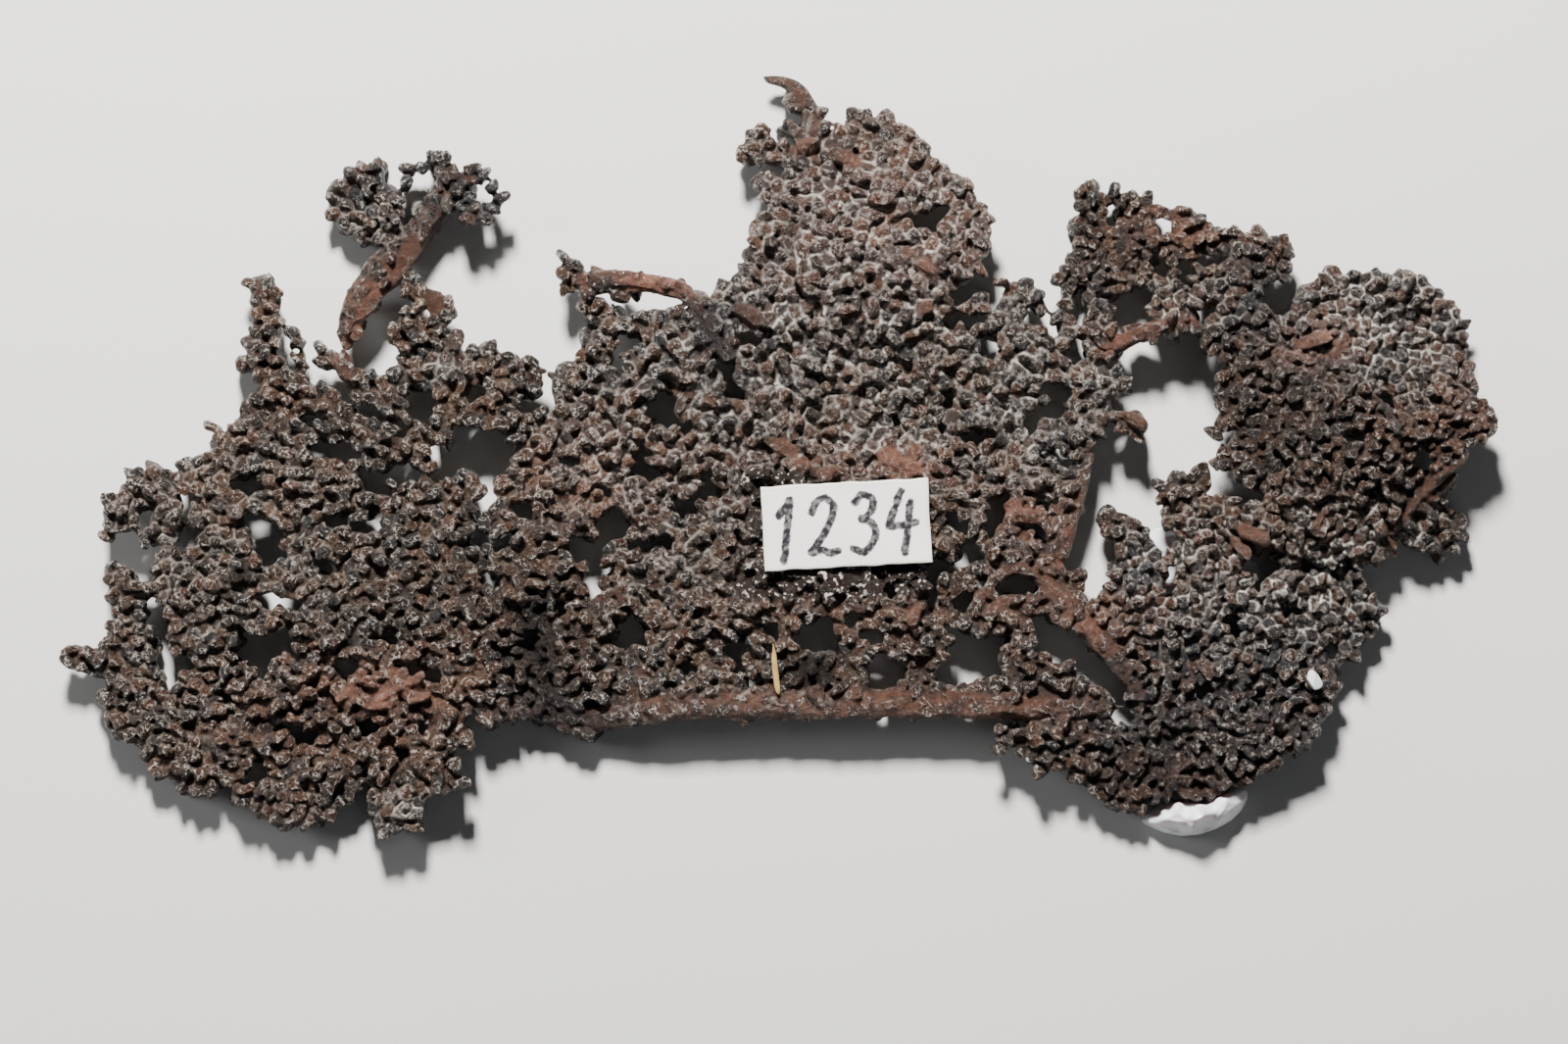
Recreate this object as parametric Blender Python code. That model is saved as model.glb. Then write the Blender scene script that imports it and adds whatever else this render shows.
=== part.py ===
"""A leaf of native copper, lying flat: a lacy, branching sheet of fused copper nubs.

The leaf is drawn in plan, in millimetres, as one rim with gaps through it. Cuts at its main forks
part it into branches. Each branch is one closed solid: a lumpy upper skin, a plainer underside and
a wall round every edge. A paper number label lies on it, and a lump of white putty holds its foot.
"""

import math

import bpy
import numpy as np
from mathutils import Vector
from mathutils.geometry import delaunay_2d_cdt

MM = 0.001

# Driving dimensions, in millimetres. The rim below is drawn 139.6 long and 74.7 wide.
LEAF_THICKNESS = 2.7
EDGE_THICKNESS = 1.3
LEAF_MID_HEIGHT = 2.7
LUMP_SPACING = 1.6
LUMP_HEIGHT = 0.8
UNDER_SPACING = 4.6
UNDER_LUMP_HEIGHT = 0.3
EDGE_CLEARANCE = 0.75
FORK_GAP = 0.3
PAD_RADIUS = 2.2
PAD_REACH = 4.5
LABEL_LENGTH = 16.2
LABEL_WIDTH = 8.2
LABEL_THICKNESS = 0.5
LABEL_CENTRE = (6.8, -6.5)
LABEL_TURN = math.radians(3.1)
LABEL_HEIGHT = 4.55
PUTTY_HEIGHT = 3.4
REAR_PUTTY_HEIGHT = 1.15
MESH_MERGE = 1e-4
SEED = 7
OVAL_SIDES = 6
LOWEST_LUMP = -0.55
EDGE_LUMP_SHARE = 0.4
STEM_HALF_WIDTH = 1.4
TRIES_PER_POINT = 14
PAD_MARGIN = 0.1

# The putty's shape: its height and its size at each level, as shares of the whole.
PUTTY_LEVELS = [(0.0, 0.9), (0.22, 1.0), (0.6, 0.97), (0.86, 0.8), (1.0, 0.45)]

COPPER = ("copper", (0.26, 0.18, 0.13), 0.55, 0.85)
PAPER = ("label_paper", (0.93, 0.92, 0.88), 0.8, 0.0)
PUTTY = ("putty", (0.93, 0.93, 0.95), 0.6, 0.0)

RIM = [
    # left frond, upper edge, going left from the neck that joins it to the centre
    (-22.6, 9.0), (-23.4, 9.6), (-24.8, 9.8), (-26.2, 10.2), (-27.2, 10.9), (-28.6, 11.2),
    (-29.6, 10.7), (-30.6, 9.9), (-32.3, 10.0), (-33.9, 10.1), (-32.0, 10.4), (-31.0, 10.5),
    (-30.2, 11.0), (-30.2, 11.9), (-31.2, 12.3), (-32.2, 12.2), (-31.5, 13.2), (-31.4, 14.3),
    (-30.9, 15.2), (-31.0, 16.1), (-31.8, 16.4), (-32.7, 15.7), (-33.3, 14.7), (-33.1, 13.6),
    (-33.8, 13.4), (-33.9, 14.9), (-33.8, 16.2), (-34.5, 17.7), (-35.5, 17.9), (-36.6, 17.2),
    (-36.6, 16.2), (-35.5, 15.3), (-35.3, 14.6), (-36.6, 14.0), (-37.3, 13.2), (-36.9, 12.4),
    (-38.1, 12.2), (-38.3, 11.2), (-37.5, 10.5), (-36.0, 10.3), (-36.2, 9.7), (-37.3, 9.0),
    (-37.3, 8.4), (-38.3, 7.6), (-38.7, 8.3), (-40.0, 8.9), (-41.3, 9.1),
    # sprig, up the right side of its stalk, round its crown and down again
    (-41.3, 10.0), (-40.6, 10.8), (-39.8, 13.1), (-38.8, 14.4), (-37.5, 16.2), (-36.2, 18.0),
    (-35.3, 19.3), (-34.6, 19.8), (-33.4, 21.6), (-32.4, 23.1), (-31.4, 24.4), (-30.8, 23.9),
    (-30.5, 22.8), (-30.0, 21.9), (-28.8, 22.3), (-27.8, 23.1), (-27.5, 23.7), (-26.8, 23.6),
    (-26.1, 24.2), (-26.3, 25.1), (-26.9, 26.4), (-27.2, 27.2), (-28.1, 27.7), (-28.8, 28.6),
    (-29.6, 28.4), (-30.9, 27.9), (-31.3, 28.7), (-31.1, 29.5), (-32.1, 29.5), (-33.7, 29.3),
    (-35.2, 28.8), (-36.1, 28.6), (-36.6, 27.7), (-37.5, 27.7), (-38.1, 28.4), (-38.8, 29.0),
    (-39.4, 28.6), (-40.6, 28.6), (-41.5, 27.9), (-42.3, 27.8), (-42.5, 26.9), (-43.0, 26.2),
    (-43.6, 25.0), (-43.9, 23.9), (-43.2, 22.7), (-42.3, 22.1), (-41.7, 21.4), (-40.9, 21.6),
    (-40.8, 20.2), (-40.0, 19.8), (-39.8, 20.7), (-38.8, 21.1), (-37.9, 20.7), (-38.0, 20.0),
    (-38.8, 19.0), (-39.8, 18.5), (-40.6, 18.9), (-40.3, 18.1), (-39.9, 17.5), (-41.1, 15.9),
    (-41.7, 14.4), (-42.1, 12.9), (-42.3, 11.1), (-42.7, 9.8),
    # left frond, its upper fingers and left side
    (-43.2, 9.9), (-43.8, 11.0), (-44.7, 11.9), (-45.0, 11.6), (-44.7, 10.4), (-44.9, 9.2),
    (-45.3, 9.0), (-45.4, 10.0), (-45.6, 11.5), (-46.0, 12.8), (-46.9, 12.9), (-48.0, 12.1),
    (-48.2, 13.7), (-48.4, 14.7), (-47.8, 15.6), (-48.2, 16.9), (-49.5, 17.6), (-50.8, 17.8),
    (-51.5, 17.2), (-51.2, 15.6), (-50.9, 14.2), (-50.7, 12.6), (-51.2, 11.2), (-51.6, 10.4),
    (-52.6, 9.7), (-52.3, 8.6), (-51.2, 7.8), (-50.2, 7.3), (-50.3, 6.3), (-51.4, 5.4),
    (-52.0, 4.4), (-52.0, 3.3), (-52.9, 3.2), (-53.7, 2.6), (-54.2, 3.4), (-55.0, 3.3),
    (-55.0, 2.3), (-54.2, 1.2), (-54.9, 0.4), (-55.8, 0.1), (-57.0, 0.1), (-57.6, -0.7),
    (-58.3, -1.7), (-59.4, -1.2), (-60.3, -0.4), (-61.1, -1.2), (-62.2, -0.9), (-62.9, -1.8),
    (-63.1, -3.0), (-64.4, -3.4), (-65.5, -3.8), (-65.6, -4.6), (-64.9, -5.4), (-65.2, -6.4),
    (-65.9, -7.4), (-65.2, -8.3), (-63.9, -7.8), (-62.9, -7.2), (-61.6, -8.5), (-60.4, -8.8),
    (-58.5, -8.8), (-57.2, -8.1), (-58.1, -7.3), (-57.4, -6.6), (-57.7, -5.9), (-57.3, -5.2),
    (-56.9, -6.0), (-56.1, -7.2), (-55.6, -8.2), (-56.6, -9.1), (-58.6, -9.0), (-59.7, -9.0),
    (-60.3, -9.8), (-61.1, -10.2), (-60.6, -11.0), (-59.9, -11.6), (-60.5, -12.3), (-61.2, -12.4),
    (-61.8, -11.7), (-62.8, -11.2), (-62.8, -10.3), (-63.8, -9.7), (-64.8, -10.2), (-64.7, -11.4),
    (-65.3, -12.4), (-65.0, -13.6), (-64.2, -14.5), (-64.2, -15.5), (-64.9, -16.8), (-65.6, -18.0),
    (-66.5, -18.6), (-67.4, -18.8), (-68.1, -18.3), (-69.2, -18.1), (-69.7, -18.8), (-69.3, -19.6),
    (-69.2, -20.5), (-68.4, -20.8), (-67.3, -20.6), (-66.4, -21.4), (-65.2, -21.8), (-65.2, -22.8),
    (-65.7, -23.8), (-65.5, -24.8), (-64.9, -25.8), (-64.4, -27.0), (-63.5, -27.8), (-62.4, -27.8),
    (-61.6, -28.6), (-61.8, -30.0), (-61.4, -31.0), (-60.5, -30.7), (-59.4, -31.4), (-58.2, -32.4),
    (-57.4, -33.4), (-56.7, -32.8), (-55.2, -32.9), (-54.1, -32.8), (-53.8, -32.0), (-52.8, -32.0),
    (-53.0, -33.2), (-52.4, -33.9), (-50.8, -34.3), (-49.2, -35.0), (-48.6, -36.0), (-47.6, -36.6),
    (-46.9, -36.1), (-45.8, -36.2), (-44.6, -35.8), (-43.9, -34.9), (-42.8, -35.0), (-42.1, -35.6),
    (-42.2, -34.6), (-42.0, -33.6), (-40.9, -33.4), (-40.3, -32.4), (-39.4, -32.1), (-39.6, -33.2),
    (-39.3, -34.6), (-38.7, -35.6), (-38.4, -37.0), (-37.5, -37.4), (-36.8, -36.6), (-35.6, -36.2),
    (-34.6, -36.5), (-33.6, -36.3), (-34.0, -35.2), (-34.1, -34.2), (-34.3, -33.3), (-33.2, -32.9),
    (-32.7, -34.0), (-32.1, -33.8), (-32.2, -32.9), (-31.6, -32.0), (-30.4, -32.5), (-29.2, -32.0),
    (-28.7, -31.2), (-29.6, -30.9), (-30.8, -31.2), (-31.0, -30.5), (-29.9, -30.0), (-30.1, -29.2),
    (-31.3, -29.0), (-31.3, -28.3), (-30.2, -28.3), (-29.4, -27.8), (-28.8, -27.0), (-29.5, -26.3),
    (-30.2, -26.2), (-30.1, -25.3), (-29.6, -24.4), (-28.9, -25.2), (-28.5, -26.4), (-28.4, -27.0),
    (-27.6, -27.0), (-27.1, -27.5), (-26.6, -26.9), (-27.2, -25.9), (-26.4, -25.3), (-26.0, -26.4),
    (-25.4, -27.0), (-25.0, -26.4), (-25.2, -25.5),
    # foot of the centre frond and the straight stem along its lower edge
    (-24.0, -25.4), (-23.0, -26.0), (-21.5, -26.5), (-20.2, -27.0), (-18.8, -27.3), (-17.6, -27.5),
    (-16.7, -27.0), (-15.6, -26.3), (-13.0, -26.2), (-10.0, -25.9), (-6.5, -25.4), (-3.0, -25.4),
    (0.0, -25.6), (4.0, -25.3), (8.0, -25.2), (12.0, -25.2), (16.0, -25.3), (20.0, -25.3),
    (22.0, -25.1), (24.0, -24.9), (26.3, -25.0),
    # right frond, lower tongue and bottom edge
    (25.2, -25.5), (24.2, -26.2), (23.0, -26.0), (22.2, -25.6), (21.4, -25.9), (21.3, -26.6),
    (22.0, -27.1), (21.4, -27.4), (20.9, -28.4), (21.5, -29.2), (22.4, -28.8), (23.3, -28.4),
    (24.2, -29.2), (25.0, -29.5), (24.9, -30.4), (25.2, -31.6), (26.1, -31.8), (26.7, -30.9),
    (27.5, -30.3), (28.2, -30.2), (28.7, -31.0), (29.2, -32.0), (30.6, -32.3), (31.6, -33.2),
    (32.6, -34.0), (33.6, -34.8), (34.5, -34.4), (35.2, -35.2), (36.4, -34.2), (37.5, -33.3),
    (38.8, -33.0), (40.5, -33.1), (42.0, -33.3), (43.0, -32.8), (43.9, -32.0), (45.2, -31.8),
    (46.2, -31.6), (47.2, -30.7), (48.2, -30.0), (49.4, -30.1), (49.2, -29.2), (50.4, -28.6),
    (51.6, -28.8), (51.9, -27.8), (52.7, -26.8), (53.0, -25.6), (53.8, -24.9), (53.9, -23.8),
    (54.7, -22.8), (55.0, -21.6), (54.7, -20.6), (55.3, -20.2), (56.4, -20.4), (57.0, -19.6),
    (57.2, -18.6), (57.9, -17.8), (58.0, -16.6), (58.6, -16.6), (59.2, -17.3), (59.8, -17.1),
    (59.3, -16.0), (59.4, -14.8), (58.9, -13.8), (57.8, -13.2), (57.4, -12.2), (56.4, -11.0),
    (55.6, -10.5), (56.6, -10.8), (57.6, -10.2), (58.8, -10.7), (59.7, -9.6), (60.3, -8.6),
    (60.9, -7.8), (61.2, -8.3), (61.6, -9.3), (62.6, -9.7), (63.0, -8.9), (63.6, -9.2),
    (64.8, -9.7), (66.2, -9.0), (67.4, -8.3), (67.0, -7.2), (66.9, -6.2), (65.9, -5.7),
    (65.7, -4.5), (64.9, -3.6), (65.8, -1.6), (66.6, -0.4), (67.2, 0.9), (68.2, 1.0), (68.9, 1.8),
    (69.7, 2.4), (69.8, 3.6), (69.4, 4.8), (68.7, 5.2), (67.9, 5.8), (68.0, 7.2), (67.6, 8.4),
    (67.5, 9.6), (67.1, 11.0), (67.2, 12.4), (66.9, 13.8), (66.0, 14.9), (64.9, 15.8), (64.2, 16.8),
    (63.0, 17.6), (61.8, 18.1), (60.4, 18.0), (59.0, 17.7), (57.9, 18.3), (56.8, 17.6),
    (55.4, 18.2), (54.6, 17.9), (53.7, 18.6), (53.2, 17.6), (51.9, 17.0), (50.7, 16.2),
    (50.1, 15.0), (49.6, 13.8), (49.0, 13.0),
    # upper right frond
    (48.4, 13.7), (47.6, 14.5), (46.8, 14.9), (47.3, 15.6), (47.3, 16.6), (48.2, 16.8),
    (49.3, 16.6), (50.0, 17.5), (49.7, 18.7), (50.7, 19.3), (49.9, 20.2), (50.7, 21.0),
    (49.6, 21.4), (47.8, 21.3), (46.3, 21.5), (45.2, 22.3), (43.6, 22.1), (42.4, 22.5),
    (41.3, 23.6), (40.4, 24.3), (39.0, 24.5), (37.8, 24.5), (36.6, 25.2), (35.2, 25.6),
    (33.8, 25.4), (33.7, 26.4), (32.7, 26.6), (32.1, 25.6), (31.6, 26.5), (30.4, 26.8),
    (29.2, 26.3), (28.7, 25.4), (29.0, 24.3), (29.6, 23.7), (28.8, 23.1), (28.9, 22.0),
    (29.4, 21.5), (28.7, 20.8), (29.2, 19.9), (28.2, 19.2), (27.2, 18.1), (26.6, 17.0),
    (27.1, 16.3), (28.0, 16.8), (27.4, 15.4), (27.4, 14.3),
    # bridge back to the centre frond and up its right shoulder
    (26.3, 15.0), (25.3, 16.2), (24.6, 17.4), (23.4, 17.1), (22.2, 17.4), (21.0, 18.2),
    (20.0, 19.3), (20.6, 20.2), (20.9, 21.6), (21.0, 23.2), (20.4, 24.4), (19.3, 25.0),
    (19.5, 26.4), (18.6, 27.4), (17.5, 27.2), (16.5, 27.9), (15.8, 28.4), (16.0, 29.3),
    (15.1, 29.7), (14.6, 30.6), (14.0, 31.5), (12.9, 31.8), (12.1, 32.8), (10.8, 33.4), (9.4, 33.5),
    (8.4, 33.9), (7.1, 33.9), (6.7, 33.0), (7.0, 32.4), (5.9, 32.2), (5.0, 32.4), (5.0, 33.6),
    (4.8, 34.5), (3.8, 34.7), (3.7, 35.6), (2.8, 36.5), (1.6, 37.1), (0.4, 37.3), (-0.7, 37.1),
    (-1.2, 36.7), (-0.4, 36.2), (0.8, 35.8), (1.4, 35.4), (1.2, 34.7), (0.8, 34.0), (1.7, 33.4),
    (2.4, 32.9), (2.6, 32.3), (1.4, 32.8), (0.3, 32.7), (0.1, 31.8), (1.1, 31.1), (2.3, 30.8),
    (1.4, 30.8), (0.2, 31.0), (-0.6, 31.1), (-0.8, 32.1), (-1.7, 32.5), (-2.7, 31.8), (-3.2, 30.8),
    (-3.6, 30.2), (-4.4, 29.5), (-3.7, 29.1), (-3.5, 28.4), (-2.6, 28.6), (-1.4, 28.3),
    (-0.2, 28.5), (0.8, 28.2), (2.2, 28.1), (3.4, 28.4), (3.2, 27.8), (2.2, 27.8), (1.3, 27.9),
    (0.6, 27.4), (-0.2, 27.6), (-1.2, 27.6), (-1.9, 26.9), (-2.1, 26.0), (-1.8, 25.2), (-1.0, 24.6),
    (-1.1, 23.7), (-1.7, 22.9), (-2.6, 22.3), (-2.6, 21.6), (-1.9, 21.1), (-2.8, 20.9),
    (-3.4, 20.2), (-3.4, 19.3), (-2.7, 18.6), (-3.3, 18.4), (-4.2, 18.0), (-4.3, 17.2),
    (-3.9, 16.6), (-4.6, 17.0), (-5.4, 17.2), (-6.1, 16.6), (-5.9, 15.7),
    # bent twig and its knot, then down to the neck
    (-6.2, 15.3), (-6.9, 16.0), (-8.0, 16.9), (-9.6, 17.4), (-11.8, 17.7), (-14.0, 17.9),
    (-15.6, 18.1), (-16.8, 18.5), (-18.0, 18.1), (-18.9, 18.5), (-19.6, 19.5), (-20.6, 20.0),
    (-21.3, 19.6), (-21.0, 18.6), (-21.5, 17.8), (-21.0, 16.9), (-21.5, 16.0), (-21.0, 14.9),
    (-20.2, 15.2), (-19.8, 16.3), (-18.9, 16.2), (-19.0, 15.3), (-19.5, 14.4), (-18.5, 13.1),
    (-17.8, 13.3), (-18.2, 12.4), (-18.8, 11.7), (-19.4, 10.6), (-19.4, 9.6), (-20.1, 9.3),
    (-20.4, 8.5), (-21.4, 8.6), (-22.0, 8.9),
]
# the gaps with a shape of their own
GAPS = {
    "bay": [
        (32.9, 9.6), (34.1, 10.5), (36.4, 11.2), (38.7, 11.9), (40.1, 12.2), (41.1, 11.7),
        (41.4, 10.6), (42.3, 10.1), (42.5, 9.3), (43.9, 9.1), (43.7, 8.4), (42.0, 8.3), (42.6, 7.2),
        (41.9, 6.5), (42.8, 5.9), (42.8, 4.9), (42.4, 3.8), (42.4, 2.9), (41.6, 3.4), (40.8, 3.2),
        (41.3, 2.4), (42.2, 1.8), (42.9, 0.8), (42.7, -0.1), (43.1, -1.3), (44.4, -1.5),
        (44.6, -2.5), (46.4, -2.8), (47.5, -3.7), (46.7, -4.1), (45.4, -4.6), (44.4, -3.8),
        (43.6, -3.3), (42.2, -3.9), (42.1, -2.3), (41.9, -1.0), (41.1, -0.3), (40.3, -0.4),
        (40.3, -1.4), (39.2, -1.8), (38.5, -1.1), (37.9, -2.0), (36.9, -1.7), (36.4, -2.4),
        (37.1, -3.4), (37.0, -4.8), (37.7, -5.3), (37.3, -6.6), (38.0, -7.4), (39.0, -7.6),
        (38.5, -9.2), (37.4, -9.2), (36.4, -8.0), (35.9, -6.8), (34.9, -6.1), (34.0, -5.6),
        (32.7, -5.0), (32.4, -4.3), (31.6, -4.2), (31.1, -5.1), (31.3, -5.9), (31.2, -7.0),
        (32.4, -8.2), (33.4, -9.4), (33.6, -10.4), (32.4, -10.7), (31.7, -11.2), (32.5, -12.0),
        (32.0, -12.9), (31.1, -14.2), (29.9, -13.4), (29.9, -12.2), (29.7, -11.0), (28.8, -10.8),
        (28.0, -10.9), (28.1, -8.4), (28.8, -7.1), (29.3, -5.6), (29.9, -4.3), (30.0, -3.0),
        (30.4, -0.3), (30.7, 0.8), (32.1, 1.7), (31.7, 2.4), (32.1, 3.1), (32.9, 2.8), (33.9, 2.0),
        (35.2, 1.4), (35.7, 2.2), (35.8, 3.8), (34.9, 4.9), (33.6, 4.7), (32.5, 4.1), (32.4, 5.4),
        (33.4, 6.3), (34.3, 5.5), (35.0, 5.5), (35.2, 6.6), (34.3, 7.4), (33.9, 8.6), (33.1, 8.7),
        (32.1, 8.6),
    ],
    "left_window": [
        (-30.3, 3.3), (-29.3, 2.9), (-27.0, 2.6), (-25.6, 2.4), (-25.4, 1.3), (-25.6, 0.2),
        (-25.3, -0.6), (-26.0, -1.5), (-26.9, -2.6), (-27.2, -3.8), (-27.9, -5.0), (-28.8, -5.8),
        (-29.1, -5.2), (-28.4, -4.3), (-27.6, -3.0), (-28.4, -2.1), (-29.6, -2.0), (-30.2, -1.3),
        (-31.0, -1.8), (-32.0, -2.4), (-33.6, -2.0), (-35.0, -2.3), (-36.0, -2.6), (-37.0, -2.0),
        (-37.5, -3.0), (-37.0, -3.7), (-38.3, -3.7), (-39.2, -4.2), (-39.3, -3.3), (-40.0, -2.6),
        (-40.4, -1.6), (-40.0, -1.0), (-38.8, -0.9), (-37.6, -1.2), (-36.6, -0.6), (-35.2, -0.9),
        (-34.2, -1.6), (-32.8, -1.8), (-32.7, -0.9), (-33.9, -0.2), (-33.5, 0.6), (-32.1, 1.4),
        (-31.3, 2.2), (-31.1, 3.1),
    ],
    "left_slot": [
        (-60.2, -13.6), (-59.2, -14.9), (-58.9, -16.2), (-58.3, -17.2), (-59.0, -17.9),
        (-58.4, -19.2), (-57.0, -19.9), (-56.2, -20.3), (-57.2, -20.9), (-58.4, -20.6),
        (-58.5, -21.6), (-58.7, -22.4), (-59.9, -22.5), (-60.0, -21.0), (-60.1, -19.4),
        (-60.2, -17.9), (-60.3, -16.6), (-61.4, -16.2), (-61.3, -15.0), (-61.2, -14.0),
    ],
    "eye": [
        (-50.8, -17.1), (-49.8, -17.3), (-48.5, -16.8), (-47.0, -16.8), (-46.2, -17.5),
        (-46.5, -18.5), (-46.9, -19.2), (-47.9, -19.2), (-49.0, -20.0), (-49.4, -21.2),
        (-49.8, -21.8), (-50.5, -21.2), (-50.6, -20.3), (-51.8, -20.1), (-52.2, -19.1),
        (-52.0, -17.8), (-51.5, -16.6),
    ],
    "left_diamond": [
        (-51.6, -5.3), (-50.3, -5.6), (-49.0, -6.1), (-47.9, -6.6), (-47.6, -7.6), (-47.8, -8.4),
        (-47.1, -9.4), (-48.0, -10.2), (-49.0, -11.2), (-49.8, -11.3), (-49.8, -9.2), (-50.8, -8.4),
        (-51.2, -7.4), (-51.8, -6.4),
    ],
    "square": [
        (-35.8, 6.3), (-34.2, 6.5), (-33.0, 6.5), (-33.0, 5.4), (-33.2, 4.3), (-33.7, 3.2),
        (-34.8, 3.2), (-35.0, 4.3), (-35.9, 4.9),
    ],
    "kite": [
        (-22.6, 7.8), (-22.0, 7.2), (-21.4, 6.1), (-21.4, 4.9), (-21.8, 4.1), (-22.4, 4.3),
        (-23.0, 5.6), (-22.9, 6.9),
    ],
    "lower_left_eye": [
        (-43.2, -20.1), (-42.2, -19.6), (-40.6, -19.4), (-40.0, -19.9), (-40.4, -20.7),
        (-41.4, -21.7), (-41.9, -21.9), (-42.5, -21.0),
    ],
    "notch": [
        (-39.0, -5.0), (-37.8, -5.6), (-38.3, -6.4), (-39.1, -7.4), (-40.1, -7.5), (-40.9, -7.0),
        (-40.0, -6.4), (-39.3, -6.0),
    ],
    "notch_2": [
        (-44.2, -5.3), (-43.2, -5.6), (-41.6, -5.3), (-41.6, -6.1), (-42.2, -6.9), (-42.7, -7.5),
        (-43.3, -7.0), (-43.0, -6.2),
    ],
    "peak": [
        (-16.4, -1.9), (-15.8, -3.0), (-15.8, -3.8), (-16.7, -4.1), (-17.3, -3.4), (-17.0, -2.7),
    ],
    "bight": [
        (-17.7, -5.9), (-16.7, -5.6), (-15.4, -4.8), (-14.6, -5.9), (-14.5, -7.4), (-15.6, -8.0),
        (-16.4, -8.4), (-17.0, -7.6),
    ],
    "bight_2": [
        (-19.7, -7.8), (-18.2, -7.6), (-17.3, -8.7), (-16.7, -9.4), (-17.7, -9.8), (-18.7, -9.4),
        (-19.1, -9.9), (-20.0, -9.4), (-20.2, -8.4),
    ],
    "bight_3": [
        (-18.4, -11.9), (-17.7, -12.5), (-16.7, -13.1), (-15.3, -12.5), (-15.3, -13.5),
        (-16.4, -14.3), (-17.7, -13.8), (-18.4, -13.3),
    ],
    "twig_gap": [
        (-14.3, 16.0), (-12.0, 15.9), (-10.0, 15.6), (-8.6, 14.9), (-7.6, 13.8), (-8.6, 14.4),
        (-9.8, 14.7), (-11.4, 14.1), (-13.0, 14.1), (-14.6, 13.9), (-15.4, 14.2), (-14.6, 14.8),
    ],
    "porthole": [
        (-15.5, -16.1), (-14.5, -15.7), (-13.7, -15.4), (-13.2, -16.3), (-12.6, -17.2),
        (-12.4, -18.1), (-13.0, -19.0), (-14.1, -19.4), (-15.3, -19.2), (-15.7, -18.1),
    ],
    "porthole_2": [
        (2.3, -16.4), (3.3, -15.8), (4.6, -15.5), (5.3, -16.3), (6.0, -17.2), (6.1, -18.6),
        (6.2, -19.6), (5.6, -19.4), (5.3, -18.7), (4.3, -19.0), (3.3, -18.9), (2.3, -18.5),
        (2.0, -17.6),
    ],
    "sill": [
        (-4.4, -20.3), (-3.5, -20.1), (-2.9, -20.9), (-1.6, -21.7), (-1.1, -22.2), (-2.4, -22.1),
        (-3.4, -21.3),
    ],
    "arch_1": [
        (10.2, -19.0), (10.8, -19.2), (12.2, -20.1), (13.0, -20.4), (13.0, -21.2), (12.1, -21.4),
        (11.9, -22.2), (10.9, -22.6), (10.2, -22.8), (8.9, -22.6), (8.9, -20.1), (9.7, -19.4),
    ],
    "arch_2": [
        (17.3, -17.8), (18.3, -17.3), (19.9, -17.6), (20.9, -17.2), (22.4, -17.3), (22.8, -17.8),
        (21.4, -18.6), (21.0, -19.8), (22.4, -20.7), (22.2, -21.4), (21.1, -21.4), (20.9, -21.9),
        (19.6, -21.8), (18.1, -22.2), (16.8, -22.1), (15.5, -21.7), (15.1, -20.9), (16.3, -20.1),
        (16.8, -18.9),
    ],
    "sail": [
        (25.1, -14.5), (25.9, -15.3), (26.1, -16.1), (27.0, -16.6), (27.6, -16.0), (28.1, -16.4),
        (29.8, -17.8), (30.8, -18.9), (31.8, -19.8), (33.6, -21.4), (34.4, -22.3), (34.3, -23.2),
        (33.8, -23.7), (32.4, -23.7), (32.4, -22.8), (31.6, -21.9), (30.3, -22.4), (30.1, -21.4),
        (29.0, -21.4), (28.9, -20.1), (28.5, -19.2), (27.8, -19.4), (27.5, -20.1), (26.7, -19.9),
        (26.6, -18.5), (25.7, -18.9), (25.0, -18.1), (24.6, -17.3), (25.1, -16.3), (24.9, -15.3),
    ],
    "wedge": [
        (15.4, 6.4), (16.3, 6.8), (17.0, 6.5), (17.4, 5.6), (17.3, 5.0), (16.3, 5.1), (16.0, 5.8),
    ],
    "rib_gap": [
        (26.7, 0.8), (28.7, 0.3), (28.7, -0.8), (28.0, -1.0), (27.1, -0.3), (25.7, 0.0),
        (25.1, 0.1),
    ],
    "rib_gap_2": [
        (20.2, -4.0), (21.5, -3.7), (22.9, -3.9), (22.6, -5.2), (22.2, -6.0), (22.2, -7.3),
        (21.3, -7.6), (20.3, -7.2), (20.4, -5.4),
    ],
    "rib_gap_3": [
        (24.2, -6.1), (25.2, -6.2), (26.2, -7.2), (26.3, -8.3), (25.5, -8.2), (24.9, -7.2),
    ],
    "rib_gap_4": [
        (25.0, -3.6), (26.2, -4.1), (27.6, -4.1), (27.4, -4.7), (26.0, -5.0), (25.6, -4.3),
    ],
    "under_label": [
        (13.9, -10.1), (15.1, -10.2), (17.3, -10.2), (18.3, -10.2), (17.3, -11.0), (15.8, -11.3),
        (15.5, -12.0), (15.0, -12.5), (14.6, -11.5), (14.2, -10.7),
    ],
    "tiny_bay": [
        (-8.2, -3.3), (-7.2, -2.8), (-5.7, -3.0), (-5.7, -3.8), (-6.7, -4.4), (-7.7, -4.3),
    ],
    "arch_gap": [
        (34.2, 16.2), (35.7, 16.8), (36.5, 17.0), (36.0, 15.7), (36.6, 14.7), (36.5, 13.7),
        (35.7, 13.0), (34.4, 12.8), (33.4, 12.2), (32.4, 12.9), (32.9, 14.2), (32.1, 14.9),
        (31.8, 15.9), (33.4, 15.7),
    ],
    "arch_gap_2": [
        (29.8, 16.7), (30.2, 15.9), (29.8, 14.7), (30.4, 13.4), (29.6, 13.1), (28.8, 13.7),
        (28.9, 15.2), (29.5, 15.9),
    ],
    "arch_gap_3": [
        (37.5, 23.6), (38.0, 23.1), (38.5, 22.1), (37.8, 21.7), (36.7, 22.1), (37.0, 22.7),
    ],
    "bridge_gap": [
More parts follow.
